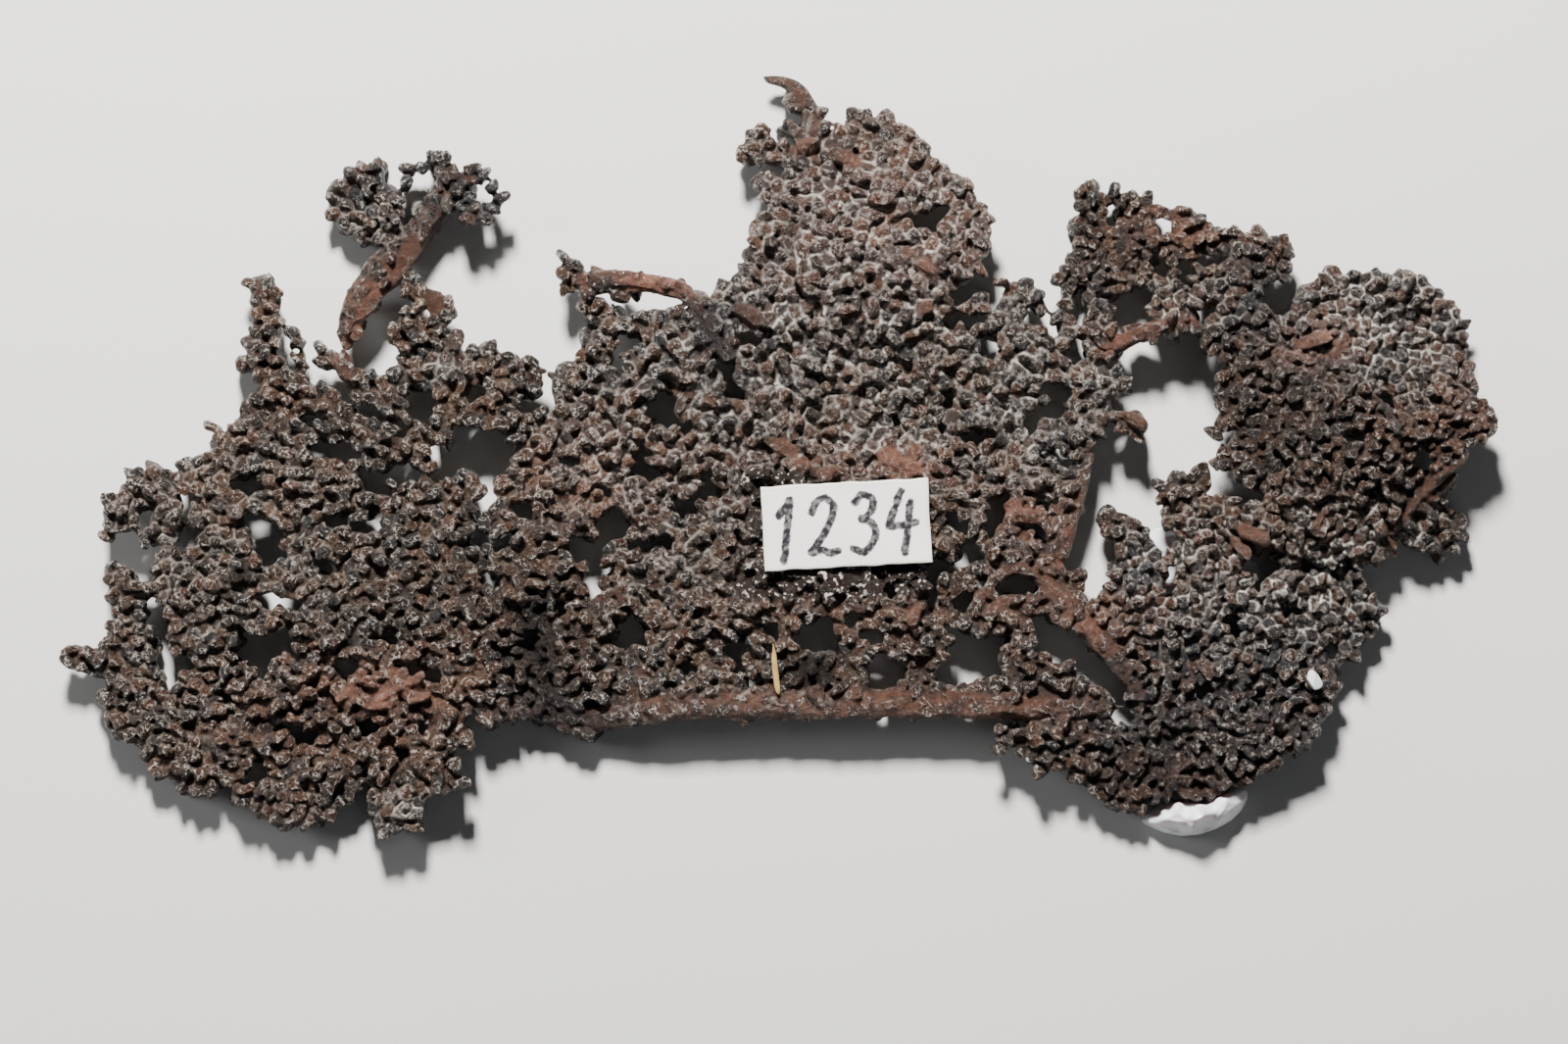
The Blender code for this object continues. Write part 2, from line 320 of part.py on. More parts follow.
        (20.1, 17.8), (21.2, 16.8), (22.4, 15.9), (22.7, 15.4), (21.7, 15.0), (21.4, 13.7),
        (20.7, 13.5), (20.4, 15.3), (20.1, 16.3),
    ],
    "bridge_gap_2": [
        (24.3, 14.3), (25.4, 14.1), (26.8, 13.4), (27.3, 12.6), (26.9, 11.7), (26.4, 11.5),
        (26.4, 12.6), (25.7, 13.0), (25.1, 12.2), (24.6, 12.6),
    ],
}
# small oval gaps: x, y, half width, half height, turn in degrees
OVALS = [
    (-43.0, 0.6, 1.7, 0.6, -12), (-48.0, -14.0, 1.6, 0.4, -8), (-46.2, -26.9, 1.4, 0.6, -30),
    (-50.6, -30.8, 1.0, 0.7, 20), (-35.3, 25.1, 0.8, 0.7, 0), (-23.8, -17.8, 0.8, 0.9, 0),
    (-11.4, 4.0, 1.0, 0.7, -30), (-5.2, 9.0, 0.45, 1.3, 5), (20.8, 10.4, 0.8, 0.7, 0),
    (29.0, 10.2, 0.6, 1.0, 0), (23.4, -12.8, 1.4, 0.5, 8), (62.5, -0.3, 0.8, 1.0, 0),
    (46.2, -11.2, 0.45, 1.3, 20), (38.3, -11.9, 0.5, 1.2, -10), (14.1, 23.0, 1.2, 0.5, -15),
]

# Cuts at the main forks, each from open air or a gap to open air or a gap.
CUTS = [
    [(-42.9, 10.4), (-40.6, 10.4)],
    [(-22.2, 9.8), (-22.3, 6.0), (-22.2, 4.0), (-26.2, 1.6), (-26.6, -1.6), (-27.3, -3.1),
     (-28.6, -5.3), (-28.9, -8.0), (-26.8, -12.0), (-25.2, -17.0), (-25.6, -21.0), (-24.6, -26.2)],
    [(-9.2, 14.9), (-7.2, 17.1)],
    [(-18.6, 12.8), (-17.0, 13.5), (-14.9, 14.3)],
    [(26.8, 15.2), (29.0, 13.9), (30.0, 13.6), (31.2, 10.9), (33.4, 9.3)],
    [(40.9, 10.9), (44.0, 11.8), (47.5, 12.6), (49.0, 13.5)],
    [(30.9, -13.6), (30.4, -14.6), (28.6, -17.1)],
    [(25.6, -25.15), (29.0, -25.3), (32.6, -25.3), (34.3, -24.7), (33.5, -23.2)],
    [(46.9, -3.6), (48.6, -6.5), (50.8, -9.9), (52.4, -10.8), (55.5, -10.6), (56.4, -10.87), (57.4, -11.2)],
]

# A point inside each branch, which names it.
BRANCHES = {
    "left_fan": (-45.0, -23.0),
    "crown_sprig": (-40.0, 25.0),
    "centre_fan": (5.0, 15.0),
    "bent_twig": (-19.5, 17.5),
    "right_arch": (45.0, 18.0),
    "right_head": (57.0, 8.0),
    "right_foot": (46.0, -19.0),
}

# Smooth stems that stand proud of the leaf: how high, then the way each one runs.
STEMS = [
    (0.9, [(-16.0, -24.6), (-5.0, -24.0), (8.0, -23.8), (20.0, -23.9), (30.0, -24.3)]),
    (0.9, [(-41.8, 10.9), (-40.9, 14.2), (-38.8, 17.0), (-36.4, 20.0), (-34.0, 22.8), (-32.2, 25.6)]),
    (0.9, [(-17.0, 16.7), (-12.5, 16.9), (-9.0, 16.1), (-7.1, 14.2), (-5.8, 11.6), (-4.4, 9.2)]),
    (0.8, [(25.2, -11.2), (27.4, -13.0), (30.2, -16.2), (33.0, -19.6), (35.0, -22.6)]),
    (0.5, [(30.0, 0.8), (29.3, -3.4), (28.0, -8.0)]),
    (0.4, [(32.6, 10.6), (35.4, 11.9), (38.6, 12.9), (41.4, 12.6)]),
]

# The leaf isn't flat: place, reach and rise of each swell of its middle surface.
SWELLS = [
    ((57.5, 4.5), 9.0, 4.0),
    ((-44.0, -16.0), 14.0, 1.4),
    ((3.0, 16.0), 13.0, 1.6),
    ((-36.0, 22.0), 9.0, 0.7),
    ((-11.0, 16.6), 3.5, 0.9),
    ((40.0, 18.0), 8.0, 0.9),
    ((46.0, -16.0), 9.0, 0.8),
    ((-67.0, -19.0), 6.0, -0.9),
    ((0.0, 36.0), 6.0, -0.7),
]

# Where the underside is worn flat and the leaf rests.
PADS = [(-56.0, -26.5), (-52.5, 5.2), (-39.0, 24.4), (-20.0, -23.0), (5.0, 30.2), (33.0, 21.0),
        (65.4, 12.0), (64.8, -6.9), (37.0, -29.8), (54.5, -15.5), (9.0, 6.0), (-43.5, -31.5)]

# The putty's outer side, from the left end of the copper it grips to the right end.
PUTTY_SIDE = [(46.1, -32.4), (46.2, -33.3), (45.6, -34.5), (44.6, -35.5), (43.2, -36.3), (41.4, -36.9),
              (39.6, -37.05), (37.9, -36.7), (36.6, -36.1), (35.7, -35.6)]
PUTTY_GRIP = [(36.7, -34.5), (37.6, -33.7), (38.8, -33.4), (40.5, -33.5), (42.0, -33.7), (43.2, -33.2),
              (44.0, -32.4), (45.0, -32.2)]

# The putty pressed on the back, under the right foot, which shows at the corner of the bay.
REAR_PUTTY = [(36.3, -7.9), (37.2, -6.9), (38.6, -6.9), (40.0, -8.2), (44.0, -9.4), (47.2, -10.2),
              (48.0, -12.0), (46.6, -13.6), (43.0, -13.2), (39.5, -13.6), (37.2, -13.0), (36.6, -10.5)]


def oval(centre_x, centre_y, half_width, half_height, turn):
    """The corners of a small oval gap, turned by `turn` degrees."""
    angle = np.linspace(0.0, 2.0 * math.pi, OVAL_SIDES, endpoint=False)
    along, across = half_width * np.cos(angle), half_height * np.sin(angle)
    cosine, sine = math.cos(math.radians(turn)), math.sin(math.radians(turn))
    x = centre_x + along * cosine - across * sine
    y = centre_y + along * sine + across * cosine
    return list(zip(x.tolist(), y.tolist()))


def inside(points, ring):
    """True for each point inside the closed ring, by counting crossings of a line to the right."""
    points, ring = np.asarray(points, float), np.asarray(ring, float)
    found = np.zeros(len(points), bool)
    for (x0, y0), (x1, y1) in zip(ring, np.roll(ring, -1, axis=0)):
        spans = (y0 > points[:, 1]) != (y1 > points[:, 1])
        reach = x0 + (points[:, 1] - y0) * (x1 - x0) / (y1 - y0 if y1 != y0 else 1.0)
        found ^= spans & (points[:, 0] < reach)
    return found


def distance_to(points, line, closed=False):
    """The distance from each point to the nearest place on a line of straight runs."""
    points, line = np.asarray(points, float), np.asarray(line, float)
    starts = line if closed else line[:-1]
    ends = np.roll(line, -1, axis=0) if closed else line[1:]
    nearest = np.full(len(points), np.inf)
    for start, end in zip(starts, ends):
        run = end - start
        share = np.clip((points - start) @ run / max(run @ run, 1e-12), 0.0, 1.0)
        nearest = np.minimum(nearest, np.linalg.norm(points - start - share[:, None] * run, axis=1))
    return nearest


def strip(line, width):
    """A band of the given width along a line, as one ring: out along one side and back along the other."""
    line = np.asarray(line, float)
    runs = np.diff(line, axis=0)
    runs /= np.linalg.norm(runs, axis=1)[:, None]
    ahead, behind = np.vstack([runs, runs[-1:]]), np.vstack([runs[:1], runs])
    mitre = ahead + behind
    mitre /= (mitre * ahead).sum(axis=1)[:, None]
    side = np.stack([-mitre[:, 1], mitre[:, 0]], axis=1) * width / 2.0
    return np.vstack([line + side, (line - side)[::-1]])


def along(line, step):
    """Points at an even step along a line."""
    line = np.asarray(line, float)
    lengths = np.linalg.norm(np.diff(line, axis=0), axis=1)
    reach = np.concatenate([[0.0], np.cumsum(lengths)])
    places = np.linspace(0.0, reach[-1], max(2, round(reach[-1] / step) + 1))
    return np.stack([np.interp(places, reach, line[:, k]) for k in (0, 1)], axis=1)


def all_gaps():
    """Every gap through the leaf: the shaped ones and the small ovals."""
    return [np.array(ring) for ring in GAPS.values()] + [np.array(oval(*values)) for values in OVALS]


def plan_lines(gaps):
    """The corners and edges of the rim, the gaps and the cuts, with every crossing resolved."""
    rings = [np.array(RIM)] + gaps + [strip(cut, FORK_GAP) for cut in CUTS]
    corners = np.vstack(rings)
    edges = []
    first = 0
    for ring in rings:
        count = len(ring)
        edges += [(first + k, first + (k + 1) % count) for k in range(count)]
        first += count
    points = [Vector(p) for p in corners]
    verts, lines, _, _, kept, _ = delaunay_2d_cdt(points, edges, [], 0, MESH_MERGE, True)
    lines = [line for line, source in zip(lines, kept) if source]
    return np.array([tuple(v) for v in verts]), lines


def is_copper(points, gaps):
    """True for each point on the leaf and clear of its gaps and of the cuts."""
    found = inside(points, RIM)
    for ring in gaps + [strip(cut, FORK_GAP) for cut in CUTS]:
        found &= ~inside(points, ring)
    return found


def scattered(spacing, fixed, lines, gaps, seed):
    """Points of the leaf at least `spacing` apart, clear of every edge, grown from the fixed ones."""
    numbers = np.random.default_rng(seed)
    low, high = np.min(RIM, axis=0), np.max(RIM, axis=0)
    tries = numbers.uniform(low, high, (int(TRIES_PER_POINT * (high - low).prod() / spacing**2), 2))
    tries = tries[is_copper(tries, gaps)]
    edge_distance = np.full(len(tries), np.inf)
    for start, end in lines:
        edge_distance = np.minimum(edge_distance, distance_to(tries, [start, end]))
    tries = tries[edge_distance > EDGE_CLEARANCE]
    chosen = np.empty((len(fixed) + len(tries), 2))
    chosen[: len(fixed)] = fixed
    count = len(fixed)
    for point in tries:
        if count == 0 or (np.abs(chosen[:count] - point) ** 2).sum(axis=1).min() > spacing**2:
            chosen[count] = point
            count += 1
    return chosen[:count]


def mesh_plan(corners, lines, extra):
    """Triangles over the plan with the extra points in them, and where each corner ended up."""
    points = [Vector(p) for p in np.vstack([corners, extra])]
    verts, _, faces, sources, _, _ = delaunay_2d_cdt(points, lines, [], 0, MESH_MERGE, True)
    verts = np.array([tuple(v) for v in verts])
    index = {source: k for k, found in enumerate(sources) for source in found}
    faces = np.array([face if turned_left(verts[list(face)]) else face[::-1] for face in faces])
    return verts, faces, index


def turned_left(corners):
    """True if three corners run anticlockwise."""
    (ax, ay), (bx, by), (cx, cy) = corners
    return (bx - ax) * (cy - ay) - (by - ay) * (cx - ax) > 0


def branch_faces(verts, faces, gaps):
    """The faces of each branch: those on copper, grouped by the edges that they share."""
    faces = faces[is_copper(verts[faces].mean(axis=1), gaps)]
    sharing = {}
    for number, face in enumerate(faces):
        for a, b in zip(face, np.roll(face, -1)):
            sharing.setdefault((min(a, b), max(a, b)), []).append(number)
    group = np.arange(len(faces))
    changed = True
    pairs = np.array([pair for pair in sharing.values() if len(pair) == 2])
    while changed:
        lowest = np.minimum(group[pairs[:, 0]], group[pairs[:, 1]])
        before = group.copy()
        np.minimum.at(group, pairs[:, 0], lowest)
        np.minimum.at(group, pairs[:, 1], lowest)
        changed = bool((before != group).any())
    found = {}
    for name, point in BRANCHES.items():
        holds = [inside([point], verts[face])[0] for face in faces]
        found[name] = faces[group == group[int(np.argmax(holds))]]
    return found


def swell(points, centre, reach):
    """A round swell: 1 at its centre, fading over its reach."""
    return np.exp(-((points - np.array(centre)) ** 2).sum(axis=1) / (2.0 * reach**2))


def middle_height(points):
    """The height of the leaf's middle surface: it swells, and dips to rest at each pad."""
    pads = np.array(PADS)
    height = np.full(len(points), LEAF_MID_HEIGHT)
    dip = np.full(len(pads), LEAF_MID_HEIGHT - LEAF_THICKNESS / 2.0)
    for centre, reach, rise in SWELLS:
        height += rise * swell(points, centre, reach)
        dip += rise * swell(pads, centre, reach)
    for pad, depth in zip(PADS, dip):
        height -= depth * swell(points, pad, PAD_REACH)
    return height


def stem_rise(points):
    """How far the stems stand above the leaf at each point."""
    rise = np.zeros(len(points))
    for height, line in STEMS:
        rise = np.maximum(rise, height * np.clip(STEM_HALF_WIDTH - distance_to(points, line), 0.0, 1.0))
    return rise


def label_corners():
    """The label's four corners in plan."""
    cosine, sine = math.cos(LABEL_TURN), math.sin(LABEL_TURN)
    halves = [(-1, -1), (1, -1), (1, 1), (-1, 1)]
    corners = [(s * LABEL_LENGTH / 2.0, t * LABEL_WIDTH / 2.0) for s, t in halves]
    x, y = LABEL_CENTRE
    return [(x + u * cosine - v * sine, y + u * sine + v * cosine) for u, v in corners]


def top_heights(verts, on_edge):
    """The upper skin: lumps at random heights inside, half the edge's thickness along every edge."""
    numbers = np.random.default_rng(SEED)
    lumps = numbers.uniform(LOWEST_LUMP, 1.0, len(verts)) * LUMP_HEIGHT
    rise = stem_rise(verts)
    height = middle_height(verts) + LEAF_THICKNESS / 2.0 + np.where(rise > 0.0, rise, lumps)
    height[on_edge] = middle_height(verts[on_edge]) + EDGE_THICKNESS / 2.0
    height[on_edge] += EDGE_LUMP_SHARE * lumps[on_edge]
    near_label = distance_to(verts, label_corners(), closed=True) < LUMP_SPACING
    under_label = inside(verts, label_corners()) | near_label
    height[under_label] = np.minimum(height[under_label], LABEL_HEIGHT - FORK_GAP)
    return height


def under_heights(verts, on_edge):
    """The underside: low lumps inside, half the edge's thickness along every edge, flat at the pads."""
    numbers = np.random.default_rng(SEED + 1)
    lumps = numbers.uniform(-1.0, 1.0, len(verts)) * UNDER_LUMP_HEIGHT
    height = middle_height(verts) - LEAF_THICKNESS / 2.0 + lumps
    height[on_edge] = middle_height(verts[on_edge]) - EDGE_THICKNESS / 2.0
    for pad in PADS:
        height[np.linalg.norm(verts - np.array(pad), axis=1) < PAD_RADIUS + PAD_MARGIN] = 0.0
    return np.maximum(height, 0.0)


def pad_points():
    """The middle and six corners of each worn pad."""
    angle = np.arange(6) * math.pi / 3.0
    ring = PAD_RADIUS * np.stack([np.cos(angle), np.sin(angle)], axis=1)
    return np.vstack([np.vstack([[pad], np.array(pad) + ring]) for pad in PADS])


def outer_edges(faces):
    """The edges that only one face uses, each in that face's own direction."""
    edges = np.concatenate([faces[:, [0, 1]], faces[:, [1, 2]], faces[:, [2, 0]]])
    used = {tuple(edge) for edge in edges.tolist()}
    return [edge for edge in used if edge[::-1] not in used]


def make_material(name, colour, roughness, metallic):
    """A plain Principled material."""
    material = bpy.data.materials.new(name)
    material.use_nodes = True
    shader = material.node_tree.nodes["Principled BSDF"]
    shader.inputs["Base Color"].default_value = (*colour, 1.0)
    shader.inputs["Roughness"].default_value = roughness
    shader.inputs["Metallic"].default_value = metallic
    return material


def add_object(name, verts_mm, faces, material):
    """One object from vertices in millimetres and triangles, with its material."""
    mesh = bpy.data.meshes.new(name)
    mesh.from_pydata([tuple(v) for v in np.asarray(verts_mm) * MM], [], [tuple(f) for f in faces])
    mesh.materials.append(material)
    mesh.update()
    made = bpy.data.objects.new(name, mesh)
    bpy.context.scene.collection.objects.link(made)
    return made


def add_branch(name, top, under, shift, material):
    """One branch: its upper skin, its underside, and a wall along every edge that one face uses.

    `top` and `under` are each (points, heights, faces, where the plan's corners are), over the same edges.
    """
    points, heights, faces, index = top
    low_points, low_heights, low_faces, low_index = under
    corner_of = {place: corner for corner, place in index.items()}
    used, local = np.unique(faces, return_inverse=True)
    low_used, low_local = np.unique(low_faces, return_inverse=True)
    low_place = {place: len(used) + k for k, place in enumerate(low_used)}
    local = local.reshape(faces.shape)
    walls = []
    for a, b in outer_edges(faces):
        top_a, top_b = np.searchsorted(used, [a, b])
        low_a, low_b = (low_place[low_index[corner_of[place]]] for place in (a, b))
        walls += [(top_b, top_a, low_a), (top_b, low_a, low_b)]
    verts = np.vstack([
        np.column_stack([points[used] - shift, heights[used]]),
        np.column_stack([low_points[low_used] - shift, low_heights[low_used]]),
    ])
    floor = low_local.reshape(low_faces.shape)[:, ::-1] + len(used)
    return add_object(name, verts, [*local.tolist(), *floor.tolist(), *walls], material)


def add_prism(name, ring, low, high, shift, material):
    """An upright prism over an anticlockwise ring."""
    ring = np.asarray(ring, float) - shift
    count = len(ring)
    verts = np.vstack([np.column_stack([ring, np.full(count, z)]) for z in (low, high)])
    sides = [(k, (k + 1) % count, count + (k + 1) % count, count + k) for k in range(count)]
    caps = [tuple(range(count))[::-1], tuple(range(count, 2 * count))]
    return add_object(name, verts, caps + sides, material)


def add_putty(name, ring, high, shift, material):
    """A lump of putty: it swells up from its footprint and comes in again towards its crown."""
    ring = np.array(ring) - shift
    ring = ring if signed_area(ring) > 0 else ring[::-1]
    middle = ring.mean(axis=0)
    count = len(ring)
    verts = np.vstack([
        np.column_stack([middle + (ring - middle) * size, np.full(count, share * high)])
        for share, size in PUTTY_LEVELS
    ])
    last = len(PUTTY_LEVELS) - 1
    faces = [tuple(range(count))[::-1], tuple(range(last * count, (last + 1) * count))]
    for level in range(last):
        base = level * count
        for k in range(count):
            after = (k + 1) % count
            faces.append((base + k, base + after, base + count + after, base + count + k))
    return add_object(name, verts, faces, material)


def signed_area(ring):
    """Twice the ring's area, positive when it runs anticlockwise."""
    after = np.roll(ring, -1, axis=0)
    return float((ring[:, 0] * after[:, 1] - ring[:, 1] * after[:, 0]).sum())


def plan_centre():
    """The middle of the whole part's box in plan."""
    everything = np.array(RIM + PUTTY_SIDE)
    return (everything.min(axis=0) + everything.max(axis=0)) / 2.0


def stem_points(segments, gaps):
    """Points along the stems that are on copper and clear of every edge."""
    points = np.vstack([along(line, LUMP_SPACING) for _, line in STEMS])
    points = points[is_copper(points, gaps)]
    clear = np.full(len(points), np.inf)
    for segment in segments:
        clear = np.minimum(clear, distance_to(points, segment))
    return points[clear > EDGE_CLEARANCE / 2.0]


def skin(corners, lines, extra, heights_of, gaps):
    """One skin over the whole leaf: its points and heights, each branch's faces, and where corners are."""
    points, faces, index = mesh_plan(corners, lines, extra)
    on_edge = np.zeros(len(points), bool)
    on_edge[[index[k] for k in range(len(corners))]] = True
    return points, heights_of(points, on_edge), branch_faces(points, faces, gaps), index


def main():
    """Builds the copper branches, the label and the two lumps of putty."""
    for old in list(bpy.data.objects):
        bpy.data.objects.remove(old, do_unlink=True)
    copper, paper, putty = make_material(*COPPER), make_material(*PAPER), make_material(*PUTTY)
    gaps = all_gaps()
    corners, lines = plan_lines(gaps)
    segments = corners[np.array(lines)]
    lump_points = scattered(LUMP_SPACING, stem_points(segments, gaps), segments, gaps, SEED)
    under_points = scattered(UNDER_SPACING, pad_points(), segments, gaps, SEED + 2)
    top, top_height, top_faces, top_index = skin(corners, lines, lump_points, top_heights, gaps)
    low, low_height, low_faces, low_index = skin(corners, lines, under_points, under_heights, gaps)
    shift = plan_centre()
    for name in BRANCHES:
        upper = (top, top_height, top_faces[name], top_index)
        under = (low, low_height, low_faces[name], low_index)
        add_branch(name, upper, under, shift, copper)
    add_prism("paper_label", label_corners(), LABEL_HEIGHT, LABEL_HEIGHT + LABEL_THICKNESS, shift, paper)
    add_putty("mounting_putty", PUTTY_GRIP + PUTTY_SIDE, PUTTY_HEIGHT, shift, putty)
    add_putty("rear_putty", REAR_PUTTY, REAR_PUTTY_HEIGHT, shift, putty)


if __name__ == "__main__":
    main()
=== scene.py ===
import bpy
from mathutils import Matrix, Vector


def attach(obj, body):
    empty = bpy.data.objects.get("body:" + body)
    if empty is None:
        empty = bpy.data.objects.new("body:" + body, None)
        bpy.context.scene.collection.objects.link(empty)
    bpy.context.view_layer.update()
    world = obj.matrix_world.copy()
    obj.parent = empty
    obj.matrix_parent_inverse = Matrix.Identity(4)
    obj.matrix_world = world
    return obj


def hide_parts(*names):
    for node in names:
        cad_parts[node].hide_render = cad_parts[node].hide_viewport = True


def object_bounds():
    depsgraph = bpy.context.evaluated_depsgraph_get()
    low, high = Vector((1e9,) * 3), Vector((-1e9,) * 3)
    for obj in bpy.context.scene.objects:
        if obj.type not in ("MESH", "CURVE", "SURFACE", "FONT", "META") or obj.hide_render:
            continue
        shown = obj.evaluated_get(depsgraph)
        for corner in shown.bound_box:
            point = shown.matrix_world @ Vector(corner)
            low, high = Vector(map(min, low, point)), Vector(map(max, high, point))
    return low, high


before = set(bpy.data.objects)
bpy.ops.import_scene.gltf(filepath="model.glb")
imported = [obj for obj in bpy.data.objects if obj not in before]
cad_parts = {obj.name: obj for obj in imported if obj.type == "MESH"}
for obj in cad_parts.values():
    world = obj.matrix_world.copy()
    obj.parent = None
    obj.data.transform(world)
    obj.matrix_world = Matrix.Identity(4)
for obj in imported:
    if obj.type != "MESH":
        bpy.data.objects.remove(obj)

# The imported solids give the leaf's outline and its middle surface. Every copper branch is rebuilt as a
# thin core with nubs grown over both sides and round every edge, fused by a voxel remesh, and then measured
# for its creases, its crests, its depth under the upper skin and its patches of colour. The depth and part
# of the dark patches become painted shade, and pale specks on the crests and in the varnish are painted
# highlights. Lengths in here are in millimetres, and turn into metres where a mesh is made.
"""Dresses a leaf of native copper: thousands of fused nubs, smooth stems, a glued label and putty.

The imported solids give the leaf's outline and its middle surface. Every copper branch is rebuilt as a
thin core with nubs grown over both sides and round every edge, fused by a voxel remesh, and then
measured for its creases, its crests and its patches of colour. Lengths in here are in millimetres,
and turn into metres where a mesh is made.
"""

import logging
import math
from collections.abc import Callable
from dataclasses import dataclass, field, replace
from enum import Enum
from functools import lru_cache

import bpy
import numpy as np
from mathutils import Vector

MM = 0.001
LOG = logging.getLogger("copper_leaf")
CAD_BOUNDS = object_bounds()
SEED = 41

# Depths and distances are measured up to this far from an edge.
FAR = 4.5
# A face whose unit normal rises less than this is a wall.
UPRIGHT = 0.03
# How far the dressed leaf stays inside the box of the solids.
CLEARANCE = 0.01
# The distance between the points of a smooth stem.
STEM_STEP = 0.25
# How blocky a nub may be, as the power of its superellipsoid.
BLOCKY = (0.55, 0.9)
# Cells in plan are numbered column by column, this many to a column.
COLUMN = 8192

Colour = tuple[float, float, float]
Socket = bpy.types.NodeSocket
Field = Callable[[np.ndarray], np.ndarray]


class Attribute(str, Enum):
    """Names of the values that each copper vertex carries for its material."""

    TINT = "tint"
    CREASE = "crease"
    CREST = "crest"
    WARM = "warm"
    # Dark patches: partly painted shade, partly dark patina.
    DARK = "dark"
    PALE = "pale"
    GREY = "grey"
    VARNISH = "varnish"
    # Depth under the upper skin, which the material paints as shade.
    DEEP = "deep"
    STEM = "stem"
    WEB = "web"


class Branch(str, Enum):
    """The copper nodes."""

    LEFT_FAN = "left_fan"
    CROWN_SPRIG = "crown_sprig"
    CENTRE_FAN = "centre_fan"
    BENT_TWIG = "bent_twig"
    RIGHT_ARCH = "right_arch"
    RIGHT_HEAD = "right_head"
    RIGHT_FOOT = "right_foot"


# ---------------------------------------------------------------------------------------------
# Small tools


def blob(
    points: np.ndarray, centre: tuple[float, float], reach: tuple[float, float], turn: float = 0.0
) -> np.ndarray:
    """A soft oval patch: 1 at its centre, fading as a bell over its two reaches.

    Args:
        points: N x 2 places in plan.
        centre: The patch's middle.
        reach: Its half length and half width, where the bell is at 0.6.
        turn: How far its length is turned from +X, in degrees.

    Returns:
        N values from 0 to 1.
    """
    cosine, sine = math.cos(math.radians(turn)), math.sin(math.radians(turn))
    away = points[:, :2] - np.array(centre)
    length = away @ np.array([cosine, sine])
    width = away @ np.array([-sine, cosine])
    return np.exp(-0.5 * ((length / reach[0]) ** 2 + (width / reach[1]) ** 2))


def oval_radius(
    points: np.ndarray, centre: tuple[float, float], reach: tuple[float, float], turn: float
) -> np.ndarray:
    """How far out each place lies in an oval: 0 at its centre, 1 on its rim and more outside.

    Args:
        points: N x 2 places in plan.
        centre: The oval's middle.
        reach: Its half length and half width.
        turn: How far its length is turned from +X, in degrees.

    Returns:
        N values.
    """
    return np.sqrt(-2.0 * np.log(np.maximum(blob(points, centre, reach, turn), 1e-30)))


def crossings(low: np.ndarray, count: tuple[int, int], step: float) -> np.ndarray:
    """Every crossing of an even grid over the plan.

    Args:
        low: The grid's lowest corner.
        count: How many columns and rows it has.
        step: The distance between them.

    Returns:
        (columns x rows) x 2 places.
    """
    across = low[0] + np.arange(count[0]) * step
    up = low[1] + np.arange(count[1]) * step
    return np.stack(np.meshgrid(across, up, indexing="ij"), axis=-1).reshape(-1, 2)


def cap(tip: int, start: np.ndarray, end: np.ndarray) -> np.ndarray:
    """The triangles that close a ring to one point.

    Args:
        tip: The point's number.
        start: Where each edge of the ring starts.
        end: Where each ends.

    Returns:
        N x 3 indices.
    """
    return np.stack([np.full(len(start), tip), start, end], axis=1)


def waves(points: np.ndarray, wavelength: float, seed: int, count: int = 7) -> np.ndarray:
    """Smooth noise: the mean of plane waves in random directions, of about one wavelength.

    Args:
        points: N x 2 or N x 3 places.
        wavelength: The typical distance from crest to crest.
        seed: Picks the waves.
        count: How many waves are summed.

    Returns:
        N values, mostly between -1 and 1.
    """
    numbers = np.random.default_rng(seed)
    ways = numbers.normal(size=(count, points.shape[1]))
    ways /= np.linalg.norm(ways, axis=1)[:, None]
    ways *= (2.0 * math.pi / wavelength * numbers.uniform(0.6, 1.5, count))[:, None]
    phases = numbers.uniform(0.0, 2.0 * math.pi, count)
    return np.sin(points @ ways.T + phases).sum(axis=1) / math.sqrt(count) * 0.9


def smoothstep(low: float, high: float, values: np.ndarray) -> np.ndarray:
    """0 below `low`, 1 above `high` and an even curve between.

    Args:
        low: Where the rise starts.
        high: Where it ends.
        values: What is mapped.

    Returns:
        The mapped values.
    """
    share = np.clip((values - low) / (high - low), 0.0, 1.0)
    return share * share * (3.0 - 2.0 * share)


@dataclass
class Surface:
    """Vertices in millimetres and triangles or quads, gathered before they become one mesh."""

    verts: list[np.ndarray] = field(default_factory=list)
    quads: list[np.ndarray] = field(default_factory=list)
    triangles: list[np.ndarray] = field(default_factory=list)
    count: int = 0

    def add(
        self, verts: np.ndarray, quads: np.ndarray | None = None,
        triangles: np.ndarray | None = None
    ) -> None:
        """Adds one closed shape.

        Args:
            verts: N x 3 places.
            quads: M x 4 indices into them.
            triangles: M x 3 indices into them.
        """
        self.verts.append(verts)
        if quads is not None:
            self.quads.append(quads + self.count)
        if triangles is not None:
            self.triangles.append(triangles + self.count)
        self.count += len(verts)

    def mesh(self, name: str) -> bpy.types.Mesh:
        """One Blender mesh of all that was added.

        Args:
            name: The mesh's name.

        Returns:
            The mesh, in metres.
        """
        quads = np.vstack(self.quads) if self.quads else np.empty((0, 4), int)
        triangles = np.vstack(self.triangles) if self.triangles else np.empty((0, 3), int)
        return build_mesh(name, np.vstack(self.verts), quads, triangles)


